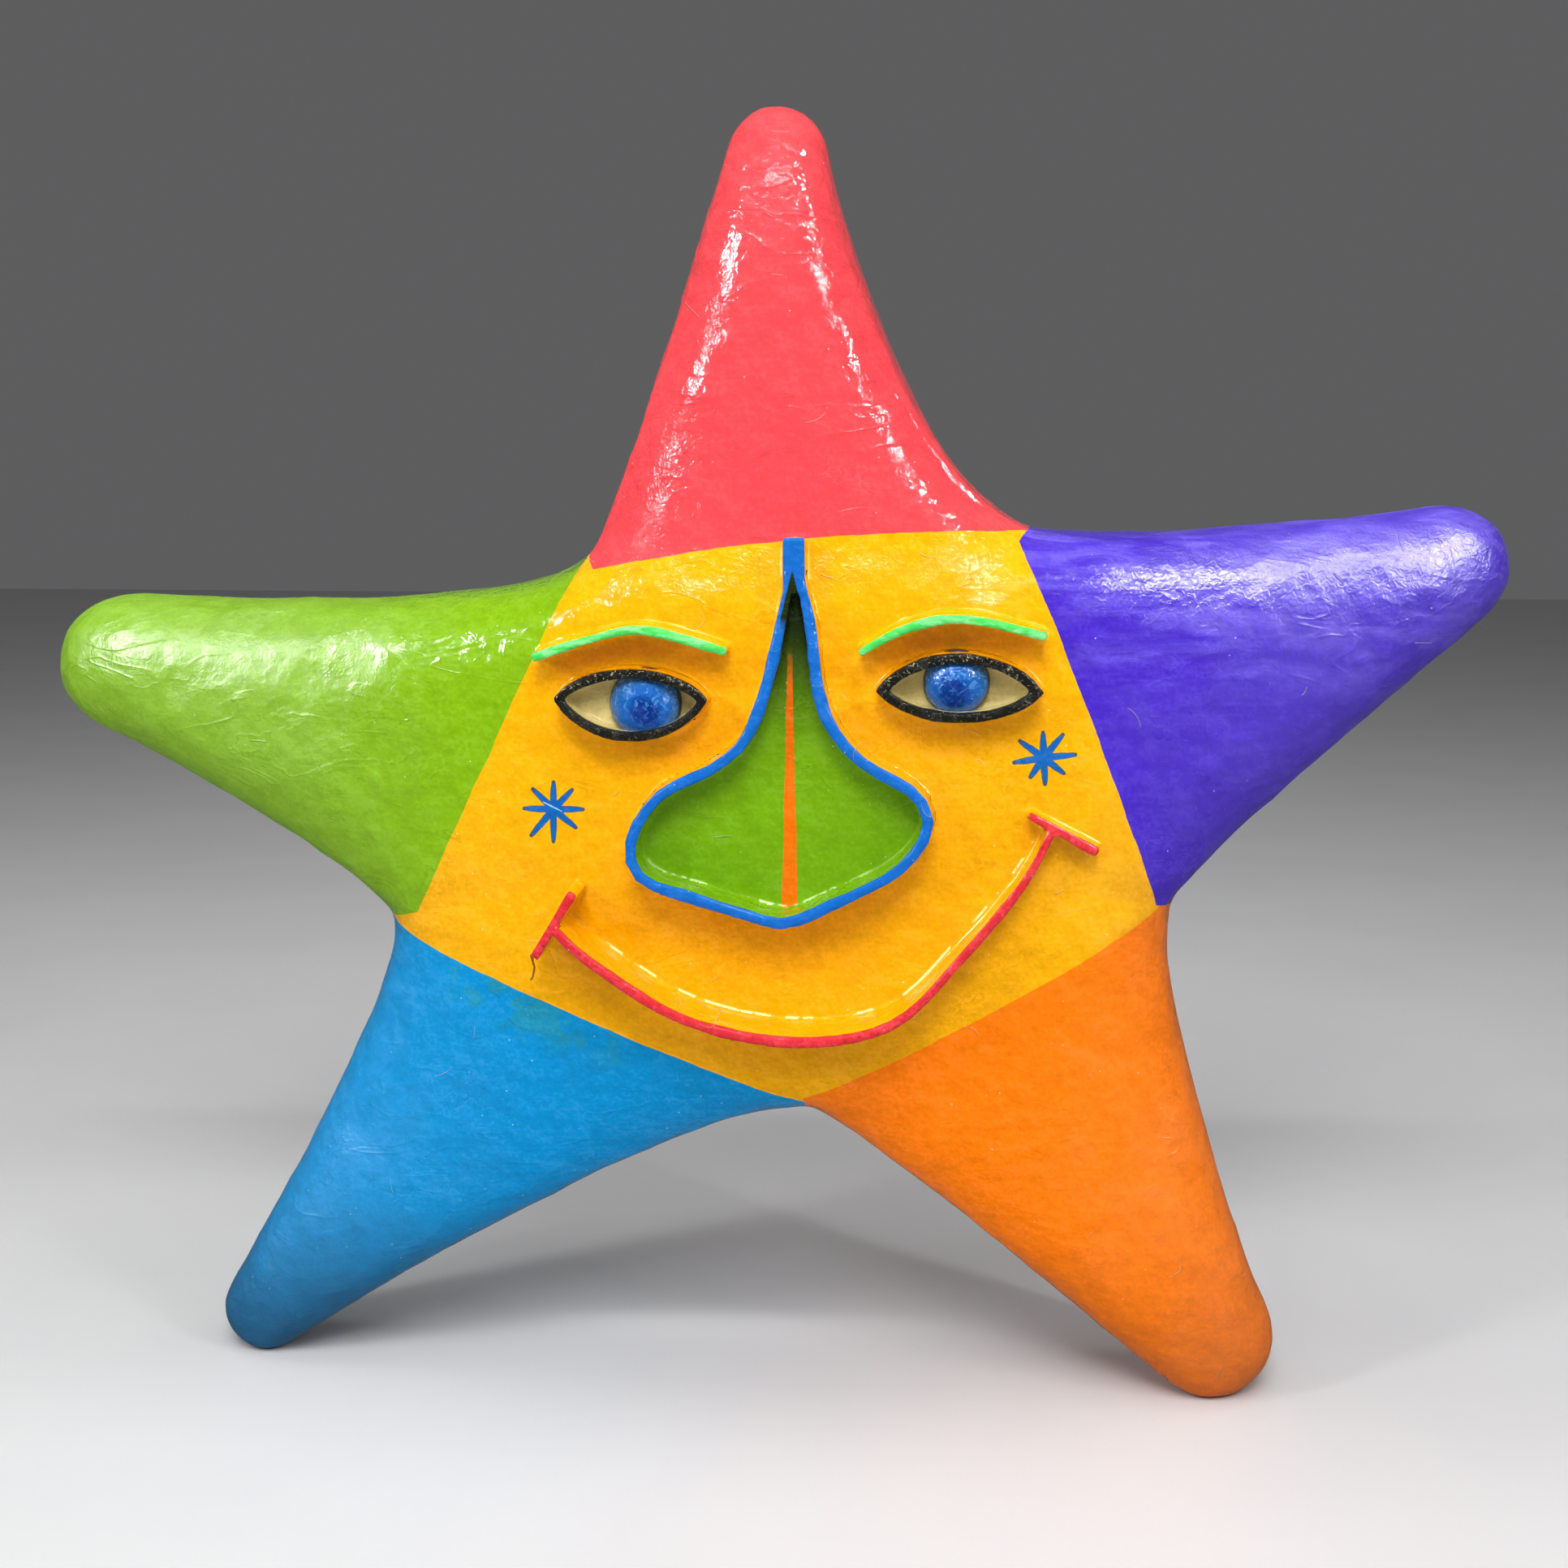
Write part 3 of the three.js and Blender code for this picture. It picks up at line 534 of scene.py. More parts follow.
def paintedPaper(name, paintOf, crinkle=1.0, hairHeight=0.3, relief=1.0, rolled=False):
    material, tree, shader, place = newMaterial(name, middle)
    coat = use(tree, brushedPaint, {"Color": paintOf(tree, place), "Place": place})[0]
    gloss = use(tree, crinkledVarnish, {"Place": place, "Amount": crinkle})
    strip = times(tree, use(tree, paperStrips, {"Place": place})[0], relief)
    paper = use(tree, crumpledPaper, {"Place": place, "Amount": relief})[0]
    hair = use(tree, caughtHairs, {"Place": place})[0]
    height = total(tree, gloss["Height"], strip, paper, times(tree, hair, hairHeight))
    if rolled:
        height = total(tree, height, use(tree, rolledBrow, {"Place": place})[0])
    bump = add(tree, "Bump", {"Height": height, "Strength": 1.0, "Distance": coated["bump"]})
    coat = mix(tree, times(tree, hair, coated["hairShow"]), coat, coated["hairShade"])
    tree.links.new(coat, shader["Base Color"])
    tree.links.new(gloss["Roughness"], shader["Roughness"])
    tree.links.new(bump.outputs[0], shader["Normal"])
    return material


# skins
# the blue coat's thin patches, and the violet's dry-brushed streaks with painted sheen
coatVariants = {"blue": thinBlue, "violet": violetDryBrushAndSheen}


def skinPaint(tree, place, shown=tuple(coatVariants)):   # yellow middle, arm colours beyond the borders
    masks = use(tree, paintBorders, {"Place": place})
    colour = paints["yellow"]
    for arm in borders:
        worn = arm in coatVariants and arm in shown
        coat = use(tree, coatVariants[arm], {"Place": place})[0] if worn else paints[arm]
        colour = mix(tree, masks[arm], colour, coat)
    return colour


def armPaint(arm):
    return lambda tree, place: skinPaint(tree, place, (arm,))


# painted stars on the cheeks: eight strokes each, the ends going dull where the brush ran dry
cheekStars = {
    "width": 2.6, "reach": 0.95, "front": (-20, -22), "dullEnd": (0.9, 1.0), "dullEdge": (0.2, 0.45),
    "dull": 0.8,
    "stars": {   # the middle of each star, and the tips of its strokes
        (-77.9, -3.3): ((-77.6, 6.9), (-70.7, 4.1), (-66.8, -3.1), (-69.5, -10.1),
                        (-78.1, -15.5), (-86.5, -13.4), (-88.9, -3.2), (-85.5, 4.2)),
        (93.2, 17.7): ((92.8, 26.9), (99.9, 26.2), (104.5, 19.0), (100.5, 12.2),
                       (94.0, 8.1), (88.7, 10.6), (82.8, 15.8), (84.6, 23.7)),
    },
}
# a fibre across the left star, painted as its pale highlight, and a lifted scrap of paper below the left end
# of the smile, painted in the brown of its shaded edge
scraps = (((-81.4, -0.8), (-75.0, -3.9), 0.4, paint(150, 194, 226)),
          ((-87.2, -57.0), (-86.2, -61.2), 1.0, paint(126, 74, 18)),
          ((-86.2, -61.2), (-86.8, -64.8), 0.8, paint(126, 74, 18)),
          ((-86.8, -64.8), (-88.8, -67.9), 0.7, paint(140, 92, 22)))
# painted highlight where varnish pooled in the joint along the smile
smileJointHighlight = {"band": (0.5, 0.9, 1.3, 1.7), "in": (0.16, 0.5, 0.56, 3), "show": 0.75,
             "shade": paint(255, 244, 170)}


def facePaint(tree, place):
    colour = skinPaint(tree, place)
    front = ramp(tree, split(tree, place)[1], *cheekStars["front"])

    def stroke(start, end, width):
        return use(tree, brushStroke, {"Place": place, "From": (start[0], 0, start[1]),
                                       "To": (end[0], 0, end[1]), "Width": width})

    for centre, tips in cheekStars["stars"].items():
        for tip in tips:
            end = [c + (t - c) * cheekStars["reach"] for c, t in zip(centre, tip)]
            drawn = stroke(centre, end, cheekStars["width"])
            dull = times(tree, drawn["Edge"], ramp(tree, drawn["Share"], *cheekStars["dullEdge"]))
            dull = calc(tree, "MAXIMUM", ramp(tree, drawn["Share"], *cheekStars["dullEnd"]), dull)
            shade = mix(tree, times(tree, dull, cheekStars["dull"]), paints["starBlue"], paints["olive"])
            colour = mix(tree, times(tree, drawn["Mask"], front), colour, shade)
    for start, end, width, shade in scraps:
        colour = mix(tree, times(tree, stroke(start, end, width)["Mask"], front), colour, shade)
    # painted highlight along the upper joint of the smile
    toSmile = add(tree, "Attribute", attribute_name="toSmile").outputs["Fac"]
    jointHighlight = times(tree, window(tree, toSmile, *smileJointHighlight["band"]), patches(tree, place, *smileJointHighlight["in"]),
                 smileJointHighlight["show"])
    return mix(tree, jointHighlight, colour, smileJointHighlight["shade"])


def edgeMask(tree, place, level, blur=0.25):
    return use(tree, cardEdge, {"Place": place, "Level": level, "Blur": blur})[0]


def toGround(tree):   # how far a rim is from the plate inside it, or a plate from its rim
    return add(tree, "Attribute", attribute_name="toGround").outputs["Fac"]


# nose: its edge slopes from the brow down to the mouth; painted shade darkens its inside towards the top, and
# a painted shadow fills the slot that runs up into its blunt top
nose = {"edge": paint(18, 98, 184), "inside": paint(109, 158, 10), "stripe": paint(230, 108, 4),
        "deep": paint(30, 42, 10), "jointHighlight": paint(196, 228, 150), "wrap": 1.5, "top": 90, "topRise": 6,
        "slope": 11 / 129, "inner": (2.4, 1.9), "innerWobble": (0.3, 0.3), "deepFrom": 12, "deepTo": 66,
        "slotAcross": 7.3, "slotFoot": 66, "slotTop": 81, "slotHalf": (3.8, 0.3), "slotFade": 6,
        "slotBlur": 0.2, "slotEnd": (81.5, 80), "slotWobble": (0.3, 0.2),
        "stripeAcross": 6.0, "stripeTop": 55, "stripeFoot": -37, "stripeHalf": (0.75, 2.8),
        "stripeFade": 14, "stripeBlur": 0.16, "stripeDrift": (0.05, 0.5), "stripeEdge": (0.6, 0.2),
        "stripeDry": (0.4, 5), "groundEdge": (0.2, 4), "poolReach": (1.5, 1.0), "jointHighlightLow": (-20, -28),
        "jointHighlightIn": (0.14, 0.44, 0.54, 3), "jointHighlightShow": 0.8}


def nosePaint(tree, place):
    spot = split(tree, place)
    level = faceDepth + nose["topRise"] + nose["slope"] * nose["top"] - nose["wrap"]
    level = calc(tree, "MULTIPLY_ADD", spot[2], -nose["slope"], level)
    within = total(tree, toGround(tree), wander(tree, place, *nose["innerWobble"]))
    within = ramp(tree, within, *nose["inner"])
    # painted shade: the inside grows darker towards the narrow top
    inside = mix(tree, ramp(tree, spot[2], nose["deepFrom"], nose["deepTo"]), nose["inside"], nose["deep"])
    sides = mix(tree, within, paints["yellow"], inside)
    colour = mix(tree, edgeMask(tree, place, level), sides, nose["edge"])
    # painted shadow in the slot at the top
    off = total(tree, spot[0], -nose["slotAcross"], wander(tree, place, *nose["slotWobble"]))
    half = ranged(tree, spot[2], nose["slotFoot"], nose["slotTop"], *nose["slotHalf"])
    off = calc(tree, "SUBTRACT", calc(tree, "ABSOLUTE", off), half)
    slot = times(tree, ramp(tree, off, nose["slotBlur"], -nose["slotBlur"]),
                 ramp(tree, spot[2], *nose["slotEnd"]),
                 ramp(tree, spot[2], nose["slotFoot"] - nose["slotFade"], nose["slotFoot"]))
    return mix(tree, slot, colour, nose["deep"])


def noseGroundPaint(tree, place):
    spot = split(tree, place)
    half = ranged(tree, spot[2], nose["stripeTop"], nose["stripeFoot"], *nose["stripeHalf"])
    off = total(tree, spot[0], -nose["stripeAcross"], wander(tree, place, *nose["stripeDrift"]))
    off = calc(tree, "SUBTRACT", calc(tree, "ABSOLUTE", off), half)
    line = ramp(tree, total(tree, off, wander(tree, place, *nose["stripeEdge"])),
                nose["stripeBlur"], -nose["stripeBlur"])
    fade = ramp(tree, total(tree, spot[2], wander(tree, place, *nose["stripeDry"])),
                nose["stripeTop"], nose["stripeTop"] - nose["stripeFade"])
    # painted shade: the floor grows darker towards the narrow top
    deep = ramp(tree, total(tree, spot[2], wander(tree, place, *nose["groundEdge"])),
                nose["deepFrom"], nose["deepTo"])
    ground = mix(tree, deep, nose["inside"], nose["deep"])
    colour = mix(tree, times(tree, line, fade), ground, nose["stripe"])
    # painted highlight where varnish pooled in the low inner joint of the nose
    jointHighlight = times(tree, ramp(tree, toGround(tree), *nose["poolReach"]), ramp(tree, spot[2], *nose["jointHighlightLow"]),
                 patches(tree, place, *nose["jointHighlightIn"]), nose["jointHighlightShow"])
    return mix(tree, jointHighlight, colour, nose["jointHighlight"])


# brows
brows = {"edge": paint(70, 200, 86), "pale": paint(132, 232, 140), "level": 50.2,
         "streakScale": (0.1, 0.3, 0.4), "streaks": (1.0, 0.42, 0.66, 4, 0.6, 0.6)}


def browPaint(tree, place):
    streaks = patches(tree, stretched(tree, place, (0, 0, 0), brows["streakScale"]), *brows["streaks"])
    edge = mix(tree, streaks, brows["edge"], brows["pale"])
    return mix(tree, edgeMask(tree, place, brows["level"]), paints["yellow"], edge)


# lids and the plates in them
lids = {"edge": paint(22, 22, 18), "flake": paint(176, 172, 140), "level": 48.6, "blur": 0.4,
        "inner": (1.9, 1.5), "innerWobble": (0.3, 0.2), "flakes": (0.95, 0.57, 0.65, 4, 0.6, 0.7),
        "flakeShow": 0.7, "upper": (36, 46), "moreUp": 0.75, "least": 0.25,
        "ground": paint(208, 190, 126), "stain": paint(150, 126, 52),
        "stains": (0.16, 0.52, 0.75, 4, 0.5, 0.6), "stainShow": 0.6}


def lidPaint(tree, place):
    within = total(tree, toGround(tree), wander(tree, place, *lids["innerWobble"]))
    within = ramp(tree, within, *lids["inner"])
    sides = mix(tree, within, paints["yellow"], lids["ground"])
    upper = ramp(tree, split(tree, place)[2], *lids["upper"])
    flakes = times(tree, patches(tree, place, *lids["flakes"]),
                   calc(tree, "MULTIPLY_ADD", upper, lids["moreUp"], lids["least"]), lids["flakeShow"])
    edge = mix(tree, flakes, lids["edge"], lids["flake"])
    return mix(tree, edgeMask(tree, place, lids["level"], lids["blur"]), sides, edge)


def eyeGroundPaint(tree, place):
    stain = times(tree, patches(tree, place, *lids["stains"]), lids["stainShow"])
    return mix(tree, stain, lids["ground"], lids["stain"])


# smile: it stands lower towards its right end
smile = {"edge": paint(206, 42, 52), "pale": paint(222, 62, 70), "nick": paint(140, 28, 24), "rise": 20.1,
         "endRise": 17.9, "lowFrom": 30, "lowTo": 95, "lower": 0.64, "shift": 2.4, "blur": 0.4,
         "nicks": (0.5, 0.6, 0.66, 3, 0.5), "nickShow": 0.45, "paleIn": (0.3, 0.45, 0.62, 4, 0.6, 0.6),
         "rim": 3}


def smilePaint(rise):
    def paintOf(tree, place):
        low = ramp(tree, split(tree, place)[0], smile["lowFrom"], smile["lowTo"])
        level = calc(tree, "MULTIPLY_ADD", low, -smile["lower"] * rise, faceDepth + rise)
        nicks = times(tree, patches(tree, place, *smile["nicks"]), smile["nickShow"])
        edge = mix(tree, patches(tree, place, *smile["paleIn"]), smile["edge"], smile["pale"])
        edge = mix(tree, nicks, edge, smile["nick"])
        mask = edgeMask(tree, place, level, smile["blur"])
        rim = times(tree, mask, less(tree, mask), smile["rim"])
        return mix(tree, rim, mix(tree, mask, paints["yellow"], edge), smile["nick"])
    return paintOf


# eyeballs: a dark core, pale patches of painted reflection that grow stronger above, and a dark ring round
# the outside
eyes = {
    "left": {"at": (-44.0, 35.2), "radius": 12.7, "height": 9.0, "core": (-43.0, 33.0)},
    "right": {"at": (63.1, 43.7), "radius": 11.4, "height": 9.0, "core": (62.6, 41.0)},
}
iris = {"blue": paint(22, 92, 172), "core": paint(2, 46, 124), "outer": paint(40, 96, 158),
        "pale": paint(92, 152, 214), "ring": paint(22, 30, 60), "coreReach": (7.5, 3.0),
        "outerReach": (8.0, 11.5), "ringWobble": (0.3, 0.5), "ringFrom": 1.1, "ringTo": 0.4,
        "coreWobble": (0.25, 2.0, 3), "paleIn": (0.5, 0.5, 0.62, 4, 1.0), "highlightFrom": -5, "highlightTo": 3,
        "highlightAbove": 0.45, "least": 0.12}


def irisPaint(eye):
    def paintOf(tree, place):
        flat = flatten(tree, place)
        toEye, toCore = [distance(tree, flat, (eye[spot][0], 0, eye[spot][1])) for spot in ("at", "core")]
        ring = total(tree, toEye, wander(tree, place, *iris["ringWobble"]))
        ring = ramp(tree, ring, eye["radius"] - iris["ringFrom"], eye["radius"] - iris["ringTo"])
        core = total(tree, toCore, wander(tree, place, *iris["coreWobble"]))
        colour = mix(tree, ramp(tree, core, *iris["coreReach"]), iris["blue"], iris["core"])
        colour = mix(tree, ramp(tree, core, *iris["outerReach"]), colour, iris["outer"])
        # painted reflection: pale patches, stronger on the upper half
        upper = [eye["at"][1] + iris[limit] for limit in ("highlightFrom", "highlightTo")]
        upper = ramp(tree, split(tree, place)[2], *upper)
        pale = times(tree, patches(tree, place, *iris["paleIn"]),
                     calc(tree, "MULTIPLY_ADD", upper, iris["highlightAbove"], iris["least"]))
        return mix(tree, ring, mix(tree, pale, colour, iris["pale"]), iris["ring"])
    return paintOf


materials = {arm: paintedPaper(arm + "Paint", armPaint(arm), rolled=arm == "red") for arm in borders}
materials.update({
    "face": paintedPaper("facePaint", facePaint, rolled=True),
    "back": paintedPaper("backPaint", skinPaint),
    "nose": paintedPaper("nosePaint", nosePaint),
    "noseGround": paintedPaper("noseGroundPaint", noseGroundPaint, crinkle=0.7),
    "brow": paintedPaper("browPaint", browPaint),
    "lid": paintedPaper("lidPaint", lidPaint, crinkle=1.6, hairHeight=0.0),
    "eyeGround": paintedPaper("eyeGroundPaint", eyeGroundPaint, crinkle=0.8, hairHeight=0.0),
    "smile": paintedPaper("smilePaint", smilePaint(smile["rise"])),
    "smileEnd": paintedPaper("smileEndPaint", smilePaint(smile["endRise"])),
})
for side, eye in eyes.items():
    materials[side + "Iris"] = paintedPaper(side + "IrisPaint", irisPaint(eye), crinkle=2.4, hairHeight=0.0,
                                            relief=0.0)
print("paints mixed,", len(materials))

# star body: the outer walls of the seven skins, welded to one closed shell
body = {"lookOff": 2e-5, "facing": 0.4, "weld": 0.0006, "quadFace": 40, "quadShape": 60, "levels": 2,
        "coarse": 0.002, "smoothBy": 0.5, "ease": 60, "easeReach": 0.065, "even": 4, "voxel": 0.0009,
        "smooth": 3, "topFacing": 0.5, "rootDepth": 0.003, "wall": 0.0026, "innerKept": 0.54, "step": 0.0003,
        "paperOn": {"brow": 0.0001, "eye_rim": 0.0002, "mouth_strip": 0.0002}}
skins = [arm + "_arm_skin" for arm in borders] + ["face_skin", "back_skin"]
shell = joinAll([copyNode(skin, "shell_" + skin) for skin in skins], "shell")
walls = BVHTree.FromPolygons([v.co for v in shell.data.vertices],
                             [tuple(f.vertices) for f in shell.data.polygons])
ways = (-1, 0, 1)
looks = [Vector((x, y, z)).normalized() for x in ways for y in ways for z in ways if x or y or z]


def hidden(face):   # an inner wall, or an edge in a joint
    start = face.center + face.normal * body["lookOff"]
    return all(look.dot(face.normal) < body["facing"] or walls.ray_cast(start, look)[0] for look in looks)


pickFaces(shell, [hidden(face) for face in shell.data.polygons])
bpy.ops.mesh.delete(type="FACE")
bpy.ops.mesh.select_all(action="SELECT")
bpy.ops.mesh.remove_doubles(threshold=body["weld"])
bpy.ops.mesh.fill_holes(sides=0)
bpy.ops.mesh.normals_make_consistent(inside=False)
bpy.ops.mesh.tris_convert_to_quads(face_threshold=math.radians(body["quadFace"]),
                                   shape_threshold=math.radians(body["quadShape"]))
done()
addModifier(shell, "SUBSURF", levels=body["levels"], render_levels=body["levels"])
addModifier(shell, "REMESH", mode="VOXEL", voxel_size=body["coarse"], adaptivity=0)
notches = [onStar(x, 0, z) for x, z in (border["notches"][1] for border in borders.values())]
eased = shell.vertex_groups.new(name="notchFolds")   # folds that fan out from the notches are pressed flat
for v in shell.data.vertices:
    off = min(math.hypot(v.co.x - notch.x, v.co.z - notch.z) for notch in notches)
    eased.add([v.index], max(0.0, 1 - off / body["easeReach"]), "REPLACE")
addModifier(shell, "SMOOTH", factor=body["smoothBy"], iterations=body["ease"], vertex_group="notchFolds")
addModifier(shell, "SMOOTH", factor=body["smoothBy"], iterations=body["even"])
shell.vertex_groups.clear()
print("shell welded,", len(shell.data.polygons), "faces")

# card strips and plates, rooted into the shell so that paper runs up them
strips = ["nose_wall", "nose_floor", "left_brow", "right_brow", "left_eye_rim", "right_eye_rim",
          "left_eye_white", "right_eye_white", "mouth_strip", "mouth_end_left", "mouth_end_right",
          "hanger_patch"]


def sinkSmile(mesh):
    for v in mesh.vertices:
        low = ((v.co.x - middle.x) * 1000 - smile["lowFrom"]) / (smile["lowTo"] - smile["lowFrom"])
        low = min(1, max(0, low))
        low = low * low * (3 - 2 * low)   # eases in and out, as the paint's ramp does
        v.co.y += (middle.y - faceDepth / 1000 - v.co.y) * smile["lower"] * low
        v.co.z -= smile["shift"] / 1000 * low


raised, sunk = [], {}
for strip in strips:
    piece = copyNode(strip, "raised_" + strip)
    side = -1 if strip == "hanger_patch" else 1
    if strip.startswith("mouth"):
        sinkSmile(piece.data)
        sunk[strip] = piece.data.copy()
    pickFaces(piece, [face.normal.y * side > body["topFacing"] for face in piece.data.polygons])
    bpy.ops.mesh.extrude_region_move(TRANSFORM_OT_translate={"value": (0, side * body["rootDepth"], 0)})
    bpy.ops.mesh.select_all(action="SELECT")
    bpy.ops.mesh.normals_make_consistent(inside=False)
    kind = strip.replace("left_", "").replace("right_", "")
    bpy.ops.transform.shrink_fatten(value=body["paperOn"].get(kind, 0))
    done()
    raised.append(piece)

# the two ends of the nose strip lie side by side at its blunt top
noseEnds = {"at": (7.6, 42, 83.3), "size": (0.0076, 0.009, 0.0186)}
bpy.ops.object.select_all(action="DESELECT")
bpy.ops.mesh.primitive_cube_add(size=1, location=onStar(*noseEnds["at"]))
ends = bpy.context.object
ends.scale = noseEnds["size"]
placeInMesh()
star = joinAll([shell, ends] + raised, "star")
addModifier(star, "REMESH", mode="VOXEL", voxel_size=body["voxel"], adaptivity=0, use_smooth_shade=True)
addModifier(star, "SMOOTH", factor=body["smoothBy"], iterations=body["smooth"])

# hand-laid paper is never even: broad lumps, folds and small dimples
relief = {"lumps": ("CLOUDS", 0.034, 0.0009), "folds": ("MUSGRAVE", 0.026, 0.0003),
          "dimples": ("CLOUDS", 0.0065, 0.0002)}
for name, values in relief.items():
    addLumps(star, name, *values)
for v in star.data.vertices:   # the two feet stay on the floor
    v.co.z = max(v.co.z, 0)
print("paper laid over,", len(star.data.polygons), "faces")

# split: each face goes to the node that lies nearest to it
named = skins + strips
nearest, owner = nodeTree(named, sunk)
normals = np.empty(len(star.data.vertices) * 3, np.float32)
star.data.vertex_normals.foreach_get("vector", normals)
star.data.attributes.new("paperNormal", "FLOAT_VECTOR", "POINT").data.foreach_set("vector", normals)
star.data.materials.clear()
marks = [bpy.data.materials.new(node) for node in named]
for mark in marks:
    star.data.materials.append(mark)
owners = [owner[nearest.find_nearest(face.center)[2]] for face in star.data.polygons]
star.data.polygons.foreach_set("material_index", owners)
pick(star)
edit()
bpy.ops.mesh.separate(type="MATERIAL")
done()
pieces = {piece.data.materials[0].name: piece for piece in bpy.context.selected_objects}
for mark in marks:
    bpy.data.materials.remove(mark)
for mesh in sunk.values():
    bpy.data.meshes.remove(mesh)
print("split into", len(pieces), "pieces")


# backs: skins and plates get a wall's thickness, rims a bottom between their two edges, strips a plain bottom
def thicken(piece):
    piece.vertex_groups.new(name="inner")
    addModifier(piece, "SOLIDIFY", thickness=body["wall"], offset=-1, use_rim=True,
                shell_vertex_group="inner")
    addModifier(piece, "DECIMATE", ratio=body["innerKept"], vertex_group="inner", vertex_group_factor=1)
    piece.vertex_groups.clear()


def bridge(piece):
    pickOpenEdges(piece)
    bpy.ops.mesh.bridge_edge_loops()
    done()


def close(piece, inward):   # a short step in before the fill keeps its edges clear of the sides
    pickOpenEdges(piece)
    bpy.ops.mesh.extrude_region_move(TRANSFORM_OT_translate={"value": (0, inward, 0)})
    bpy.ops.mesh.fill_holes(sides=0)
    bpy.ops.mesh.quads_convert_to_tris()
    done()


sameSide = 0.2   # how far a normal must agree with the whole sheet's


def keepNormals(piece):   # shade across the joints as one sheet of paper
    mesh = piece.data
    wanted = np.empty(len(mesh.vertices) * 3, np.float32)
    now = np.empty_like(wanted)
    mesh.attributes["paperNormal"].data.foreach_get("vector", wanted)
    mesh.vertex_normals.foreach_get("vector", now)
    wanted, now = wanted.reshape(-1, 3), now.reshape(-1, 3)
    wanted[(wanted * now).sum(1) < sameSide] = 0
    mesh.attributes.remove(mesh.attributes["paperNormal"])
    mesh.shade_smooth()
    mesh.normals_split_custom_set_from_vertices([tuple(n) for n in wanted])


finish = {   # node: piece, material, slot, how its back is closed
    "face_skin": ("face", "face", "yellow_paint", "wall"),
    "back_skin": ("back", "back", "yellow_paint", "wall"),
    "nose_wall": ("nose", "nose", "nose_blue", "rim"),
    "nose_floor": ("nose_ground", "noseGround", "nose_green", "wall"),
    "left_brow": ("brow_left", "brow", "brow_green", "strip"),
    "right_brow": ("brow_right", "brow", "brow_green", "strip"),
    "left_eye_rim": ("lids_left", "lid", "eye_black", "rim"),
    "right_eye_rim": ("lids_right", "lid", "eye_black", "rim"),
    "left_eye_white": ("eye_left", "eyeGround", "eye_cream", "wall"),
    "right_eye_white": ("eye_right", "eyeGround", "eye_cream", "wall"),
    "mouth_strip": ("smile", "smile", "mouth_red", "strip"),
    "mouth_end_left": ("smile_end_left", "smileEnd", "mouth_red", "strip"),
    "mouth_end_right": ("smile_end_right", "smileEnd", "mouth_red", "strip"),
    "hanger_patch": ("hanger_pulp", "back", "yellow_paint", "strip"),
}
for arm in borders:
    finish[arm + "_arm_skin"] = (arm + "_arm", arm, arm + "_paint", "wall")
for node, (name, material, slot, back) in finish.items():
    piece = pieces[node]
    piece.name = piece.data.name = name
    piece.data.materials.clear()
    piece.data.materials.append(materials[material])
    if back == "wall":
        thicken(piece)
    elif back == "rim":
        bridge(piece)
    else:
        close(piece, -body["step"] if node == "hanger_patch" else body["step"])
    keepNormals(piece)
    standFor(piece, node, slot)
print("backs closed")

# plan distances for the paint, in millimetres from another node at a depth
reaches = {"nose_wall": ("nose_floor", "toGround", 41.3), "nose_floor": ("nose_wall", "toGround", 44),
           "face_skin": ("mouth_strip", "toSmile", 48), "left_eye_rim": ("left_eye_white", "toGround", 41.8),
           "right_eye_rim": ("right_eye_white", "toGround", 41.8)}
for node, (other, label, depth) in reaches.items():
    surface, _ = nodeTree([other])
    level = onStar(0, depth, 0).y
    reach = []
    for v in pieces[node].data.vertices:
        spot = Vector((v.co.x, level, v.co.z))
        found, _, _, off = surface.find_nearest(spot)
        below = label == "toSmile" and spot.z <= found.z   # the painted highlight is on the upper side of the smile only
        reach.append(-off * 1000 if below else off * 1000)
    pieces[node].data.attributes.new(label, "FLOAT", "POINT").data.foreach_set("value", reach)
print("distances measured")

# eyeballs: flattened domes that run under the lids
ballShape = {"segments": 96, "rings": 64, "seat": 42.1, "cut": 41.2,
             "lumps": ("CLOUDS", 0.004, 0.0003), "sharp": 50}
for side, eye in eyes.items():
    bpy.ops.object.select_all(action="DESELECT")
    bpy.ops.mesh.primitive_uv_sphere_add(segments=ballShape["segments"], ring_count=ballShape["rings"],
                                         radius=eye["radius"] / 1000, rotation=(math.pi / 2, 0, 0))
    ball = bpy.context.object
    ball.name = "eyeball_" + side
    placeInMesh()
    bpy.ops.object.mode_set(mode="EDIT")
    bpy.ops.mesh.select_all(action="SELECT")
    bpy.ops.transform.resize(value=(1, eye["height"] / eye["radius"], 1), center_override=(0, 0, 0))
    bpy.ops.transform.translate(value=onStar(eye["at"][0], ballShape["seat"], eye["at"][1]))
    bpy.ops.mesh.bisect(plane_co=onStar(0, ballShape["cut"], 0), plane_no=(0, 1, 0), use_fill=True,
                        clear_outer=True)
    done()
    addLumps(ball, "ball" + side, *ballShape["lumps"])
    bpy.ops.object.shade_smooth_by_angle(angle=math.radians(ballShape["sharp"]))
    ball.data.materials.append(materials[side + "Iris"])
    standFor(ball, side + "_eyeball", "iris_blue")
print("eyeballs set")

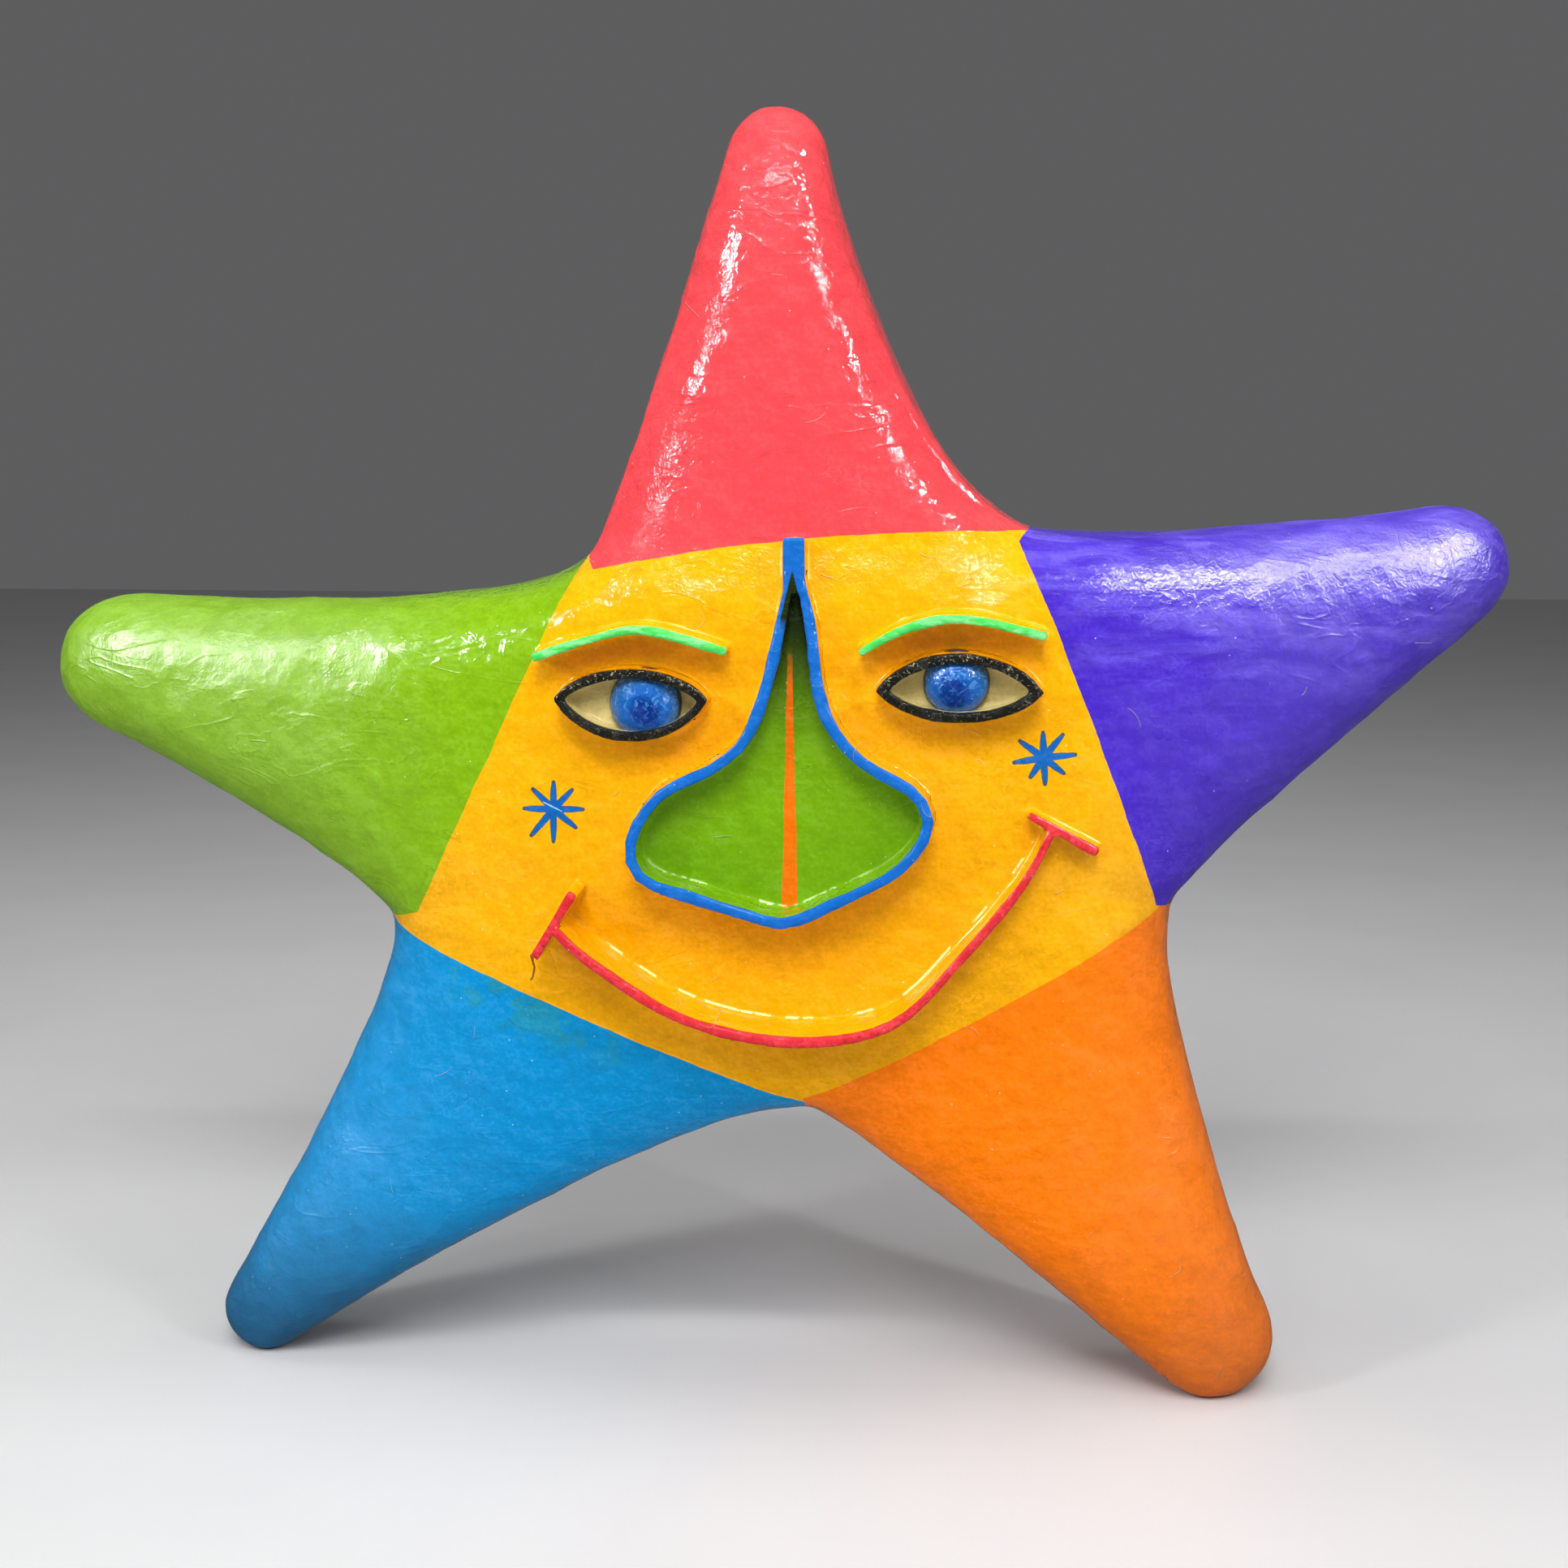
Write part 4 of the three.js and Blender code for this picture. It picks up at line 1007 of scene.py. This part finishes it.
# hanging ring of bent wire, going rusty
ringWire = {"radius": 0.014, "wire": 0.0013, "steps": 96, "sides": 16, "depth": -33.3, "rise": 24,
            "bright": paint(150, 150, 148), "rust": paint(112, 70, 42),
            "rustIn": (0.22, 0.48, 0.62, 4, 0.4, 0.6), "metal": 0.95, "rustMetal": -0.8, "gloss": 0.32,
            "rustDull": 0.4, "scratches": (1.6, 4), "scratchShow": 0.4, "scratchDepth": 0.0003}
material, tree, shader, place = newMaterial("ringWire")
rust = patches(tree, place, *ringWire["rustIn"])
tree.links.new(mix(tree, rust, ringWire["bright"], ringWire["rust"]), shader["Base Color"])
tree.links.new(calc(tree, "MULTIPLY_ADD", rust, ringWire["rustMetal"], ringWire["metal"]), shader["Metallic"])
tree.links.new(calc(tree, "MULTIPLY_ADD", rust, ringWire["rustDull"], ringWire["gloss"]), shader["Roughness"])
scratch = add(tree, "Bump", {"Height": noise(tree, place, *ringWire["scratches"]),
                             "Strength": ringWire["scratchShow"], "Distance": ringWire["scratchDepth"]})
tree.links.new(scratch.outputs[0], shader["Normal"])
bpy.ops.object.select_all(action="DESELECT")
bpy.ops.mesh.primitive_torus_add(
    major_radius=ringWire["radius"], minor_radius=ringWire["wire"], major_segments=ringWire["steps"],
    minor_segments=ringWire["sides"], rotation=(math.pi / 2, 0, 0),
    location=onStar(hanger["across"], ringWire["depth"], hanger["up"] + ringWire["rise"]))
ring = bpy.context.object
ring.name = "hanging_wire"
placeInMesh()
bpy.ops.object.shade_smooth()
ring.data.materials.append(material)
standFor(ring, "hanging_ring", "wire")

# inside: crumpled newspaper and the cardboard star
stocks = {"newspaper": {"shades": (paint(176, 172, 160), paint(96, 96, 94)), "rows": 0.5, "on": "_wad"},
          "board": {"shades": (paint(178, 140, 96), paint(140, 104, 66)), "rows": 0.12, "on": "core_board"}}
stockLook = {"rowScale": (0.3, 0.3, 1.2), "rowLimits": (0.45, 0.62, 3), "mottle": 0.1, "dull": 0.7,
             "duller": 0.2, "crumples": (0.08, 5, 1.0, 0.6), "crumpleDepth": 0.004}
for slot, stock in stocks.items():
    material, tree, shader, place = newMaterial(slot + "Stock")
    rows = stretched(tree, place, (0, 0, 0), stockLook["rowScale"])
    rows = patches(tree, rows, stock["rows"], *stockLook["rowLimits"])
    tree.links.new(mix(tree, rows, *stock["shades"]), shader["Base Color"])
    dull = noise(tree, place, stockLook["mottle"])
    dull = calc(tree, "MULTIPLY_ADD", dull, stockLook["duller"], stockLook["dull"])
    tree.links.new(dull, shader["Roughness"])
    bump = add(tree, "Bump", {"Height": noise(tree, place, *stockLook["crumples"]), "Strength": 1.0,
                              "Distance": stockLook["crumpleDepth"]})
    tree.links.new(bump.outputs[0], shader["Normal"])
    for name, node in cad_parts.items():
        if name.endswith(stock["on"]):
            node.material_slots[0].material = material
print("hanger and inside dressed")

# pale floor and soft studio light
ground = {"size": 8, "mottle": (0.009, 4), "shades": ((0.56, 0.56, 0.57, 1), (0.62, 0.62, 0.62, 1)),
          "dull": 0.7}
bpy.ops.object.select_all(action="DESELECT")
bpy.ops.mesh.primitive_plane_add(size=ground["size"], location=(0, 0, 0))
floor = bpy.context.object
floor.name = "floor"
material, tree, shader, place = newMaterial("paleFloor")
tree.links.new(mix(tree, noise(tree, place, *ground["mottle"]), *ground["shades"]), shader["Base Color"])
shader["Roughness"].default_value = ground["dull"]
floor.data.materials.append(material)
floor.visible_glossy = False   # no floor haze in the varnish
lights = {   # turn and rise in degrees, distance, width and height in metres, watts, what it lights
    "key": (4, 42, 1.5, 0.55, 0.5, 12.8, "paint"), "left": (-52, 26, 1.35, 0.1, 0.55, 6, "paint"),
    "right": (55, 32, 1.35, 0.05, 0.5, 4, "paint"), "top": (4, 52, 1.4, 1.2, 0.06, 7, "paint"),
    "ceiling": (0, 84, 1.3, 1.3, 0.7, 9, "paint"), "ceilingGlint": (0, 84, 1.3, 1.3, 0.7, 20, "varnish"),
    "leftGlint": (-52, 26, 1.35, 0.08, 0.55, 29, "varnish"),
    "rightGlint": (55, 32, 1.35, 0.05, 0.6, 33, "varnish"),
    "topGlint": (4, 52, 1.4, 1.2, 0.055, 46, "varnish"),
}
for name, (turn, rise, off, width, height, watts, lit) in lights.items():
    at = heading(turn, rise) * off
    bpy.ops.object.light_add(type="AREA", location=middle + at)
    lamp = bpy.context.object
    lamp.name = "light_" + name
    lamp.data.shape = "RECTANGLE"
    lamp.data.size, lamp.data.size_y = width, height
    lamp.data.energy = watts
    lamp.visible_glossy = lit == "varnish"
    lamp.visible_diffuse = lit == "paint"
    lamp.rotation_euler = at.to_track_quat("Z", "Y").to_euler()
roomShade = (0.11, 0.11, 0.113, 1)
room = bpy.data.worlds.new("room")
bpy.context.scene.world = room
room.use_nodes = True
room.node_tree.nodes["Background"].inputs["Color"].default_value = roomShade
print("floor and lights set")
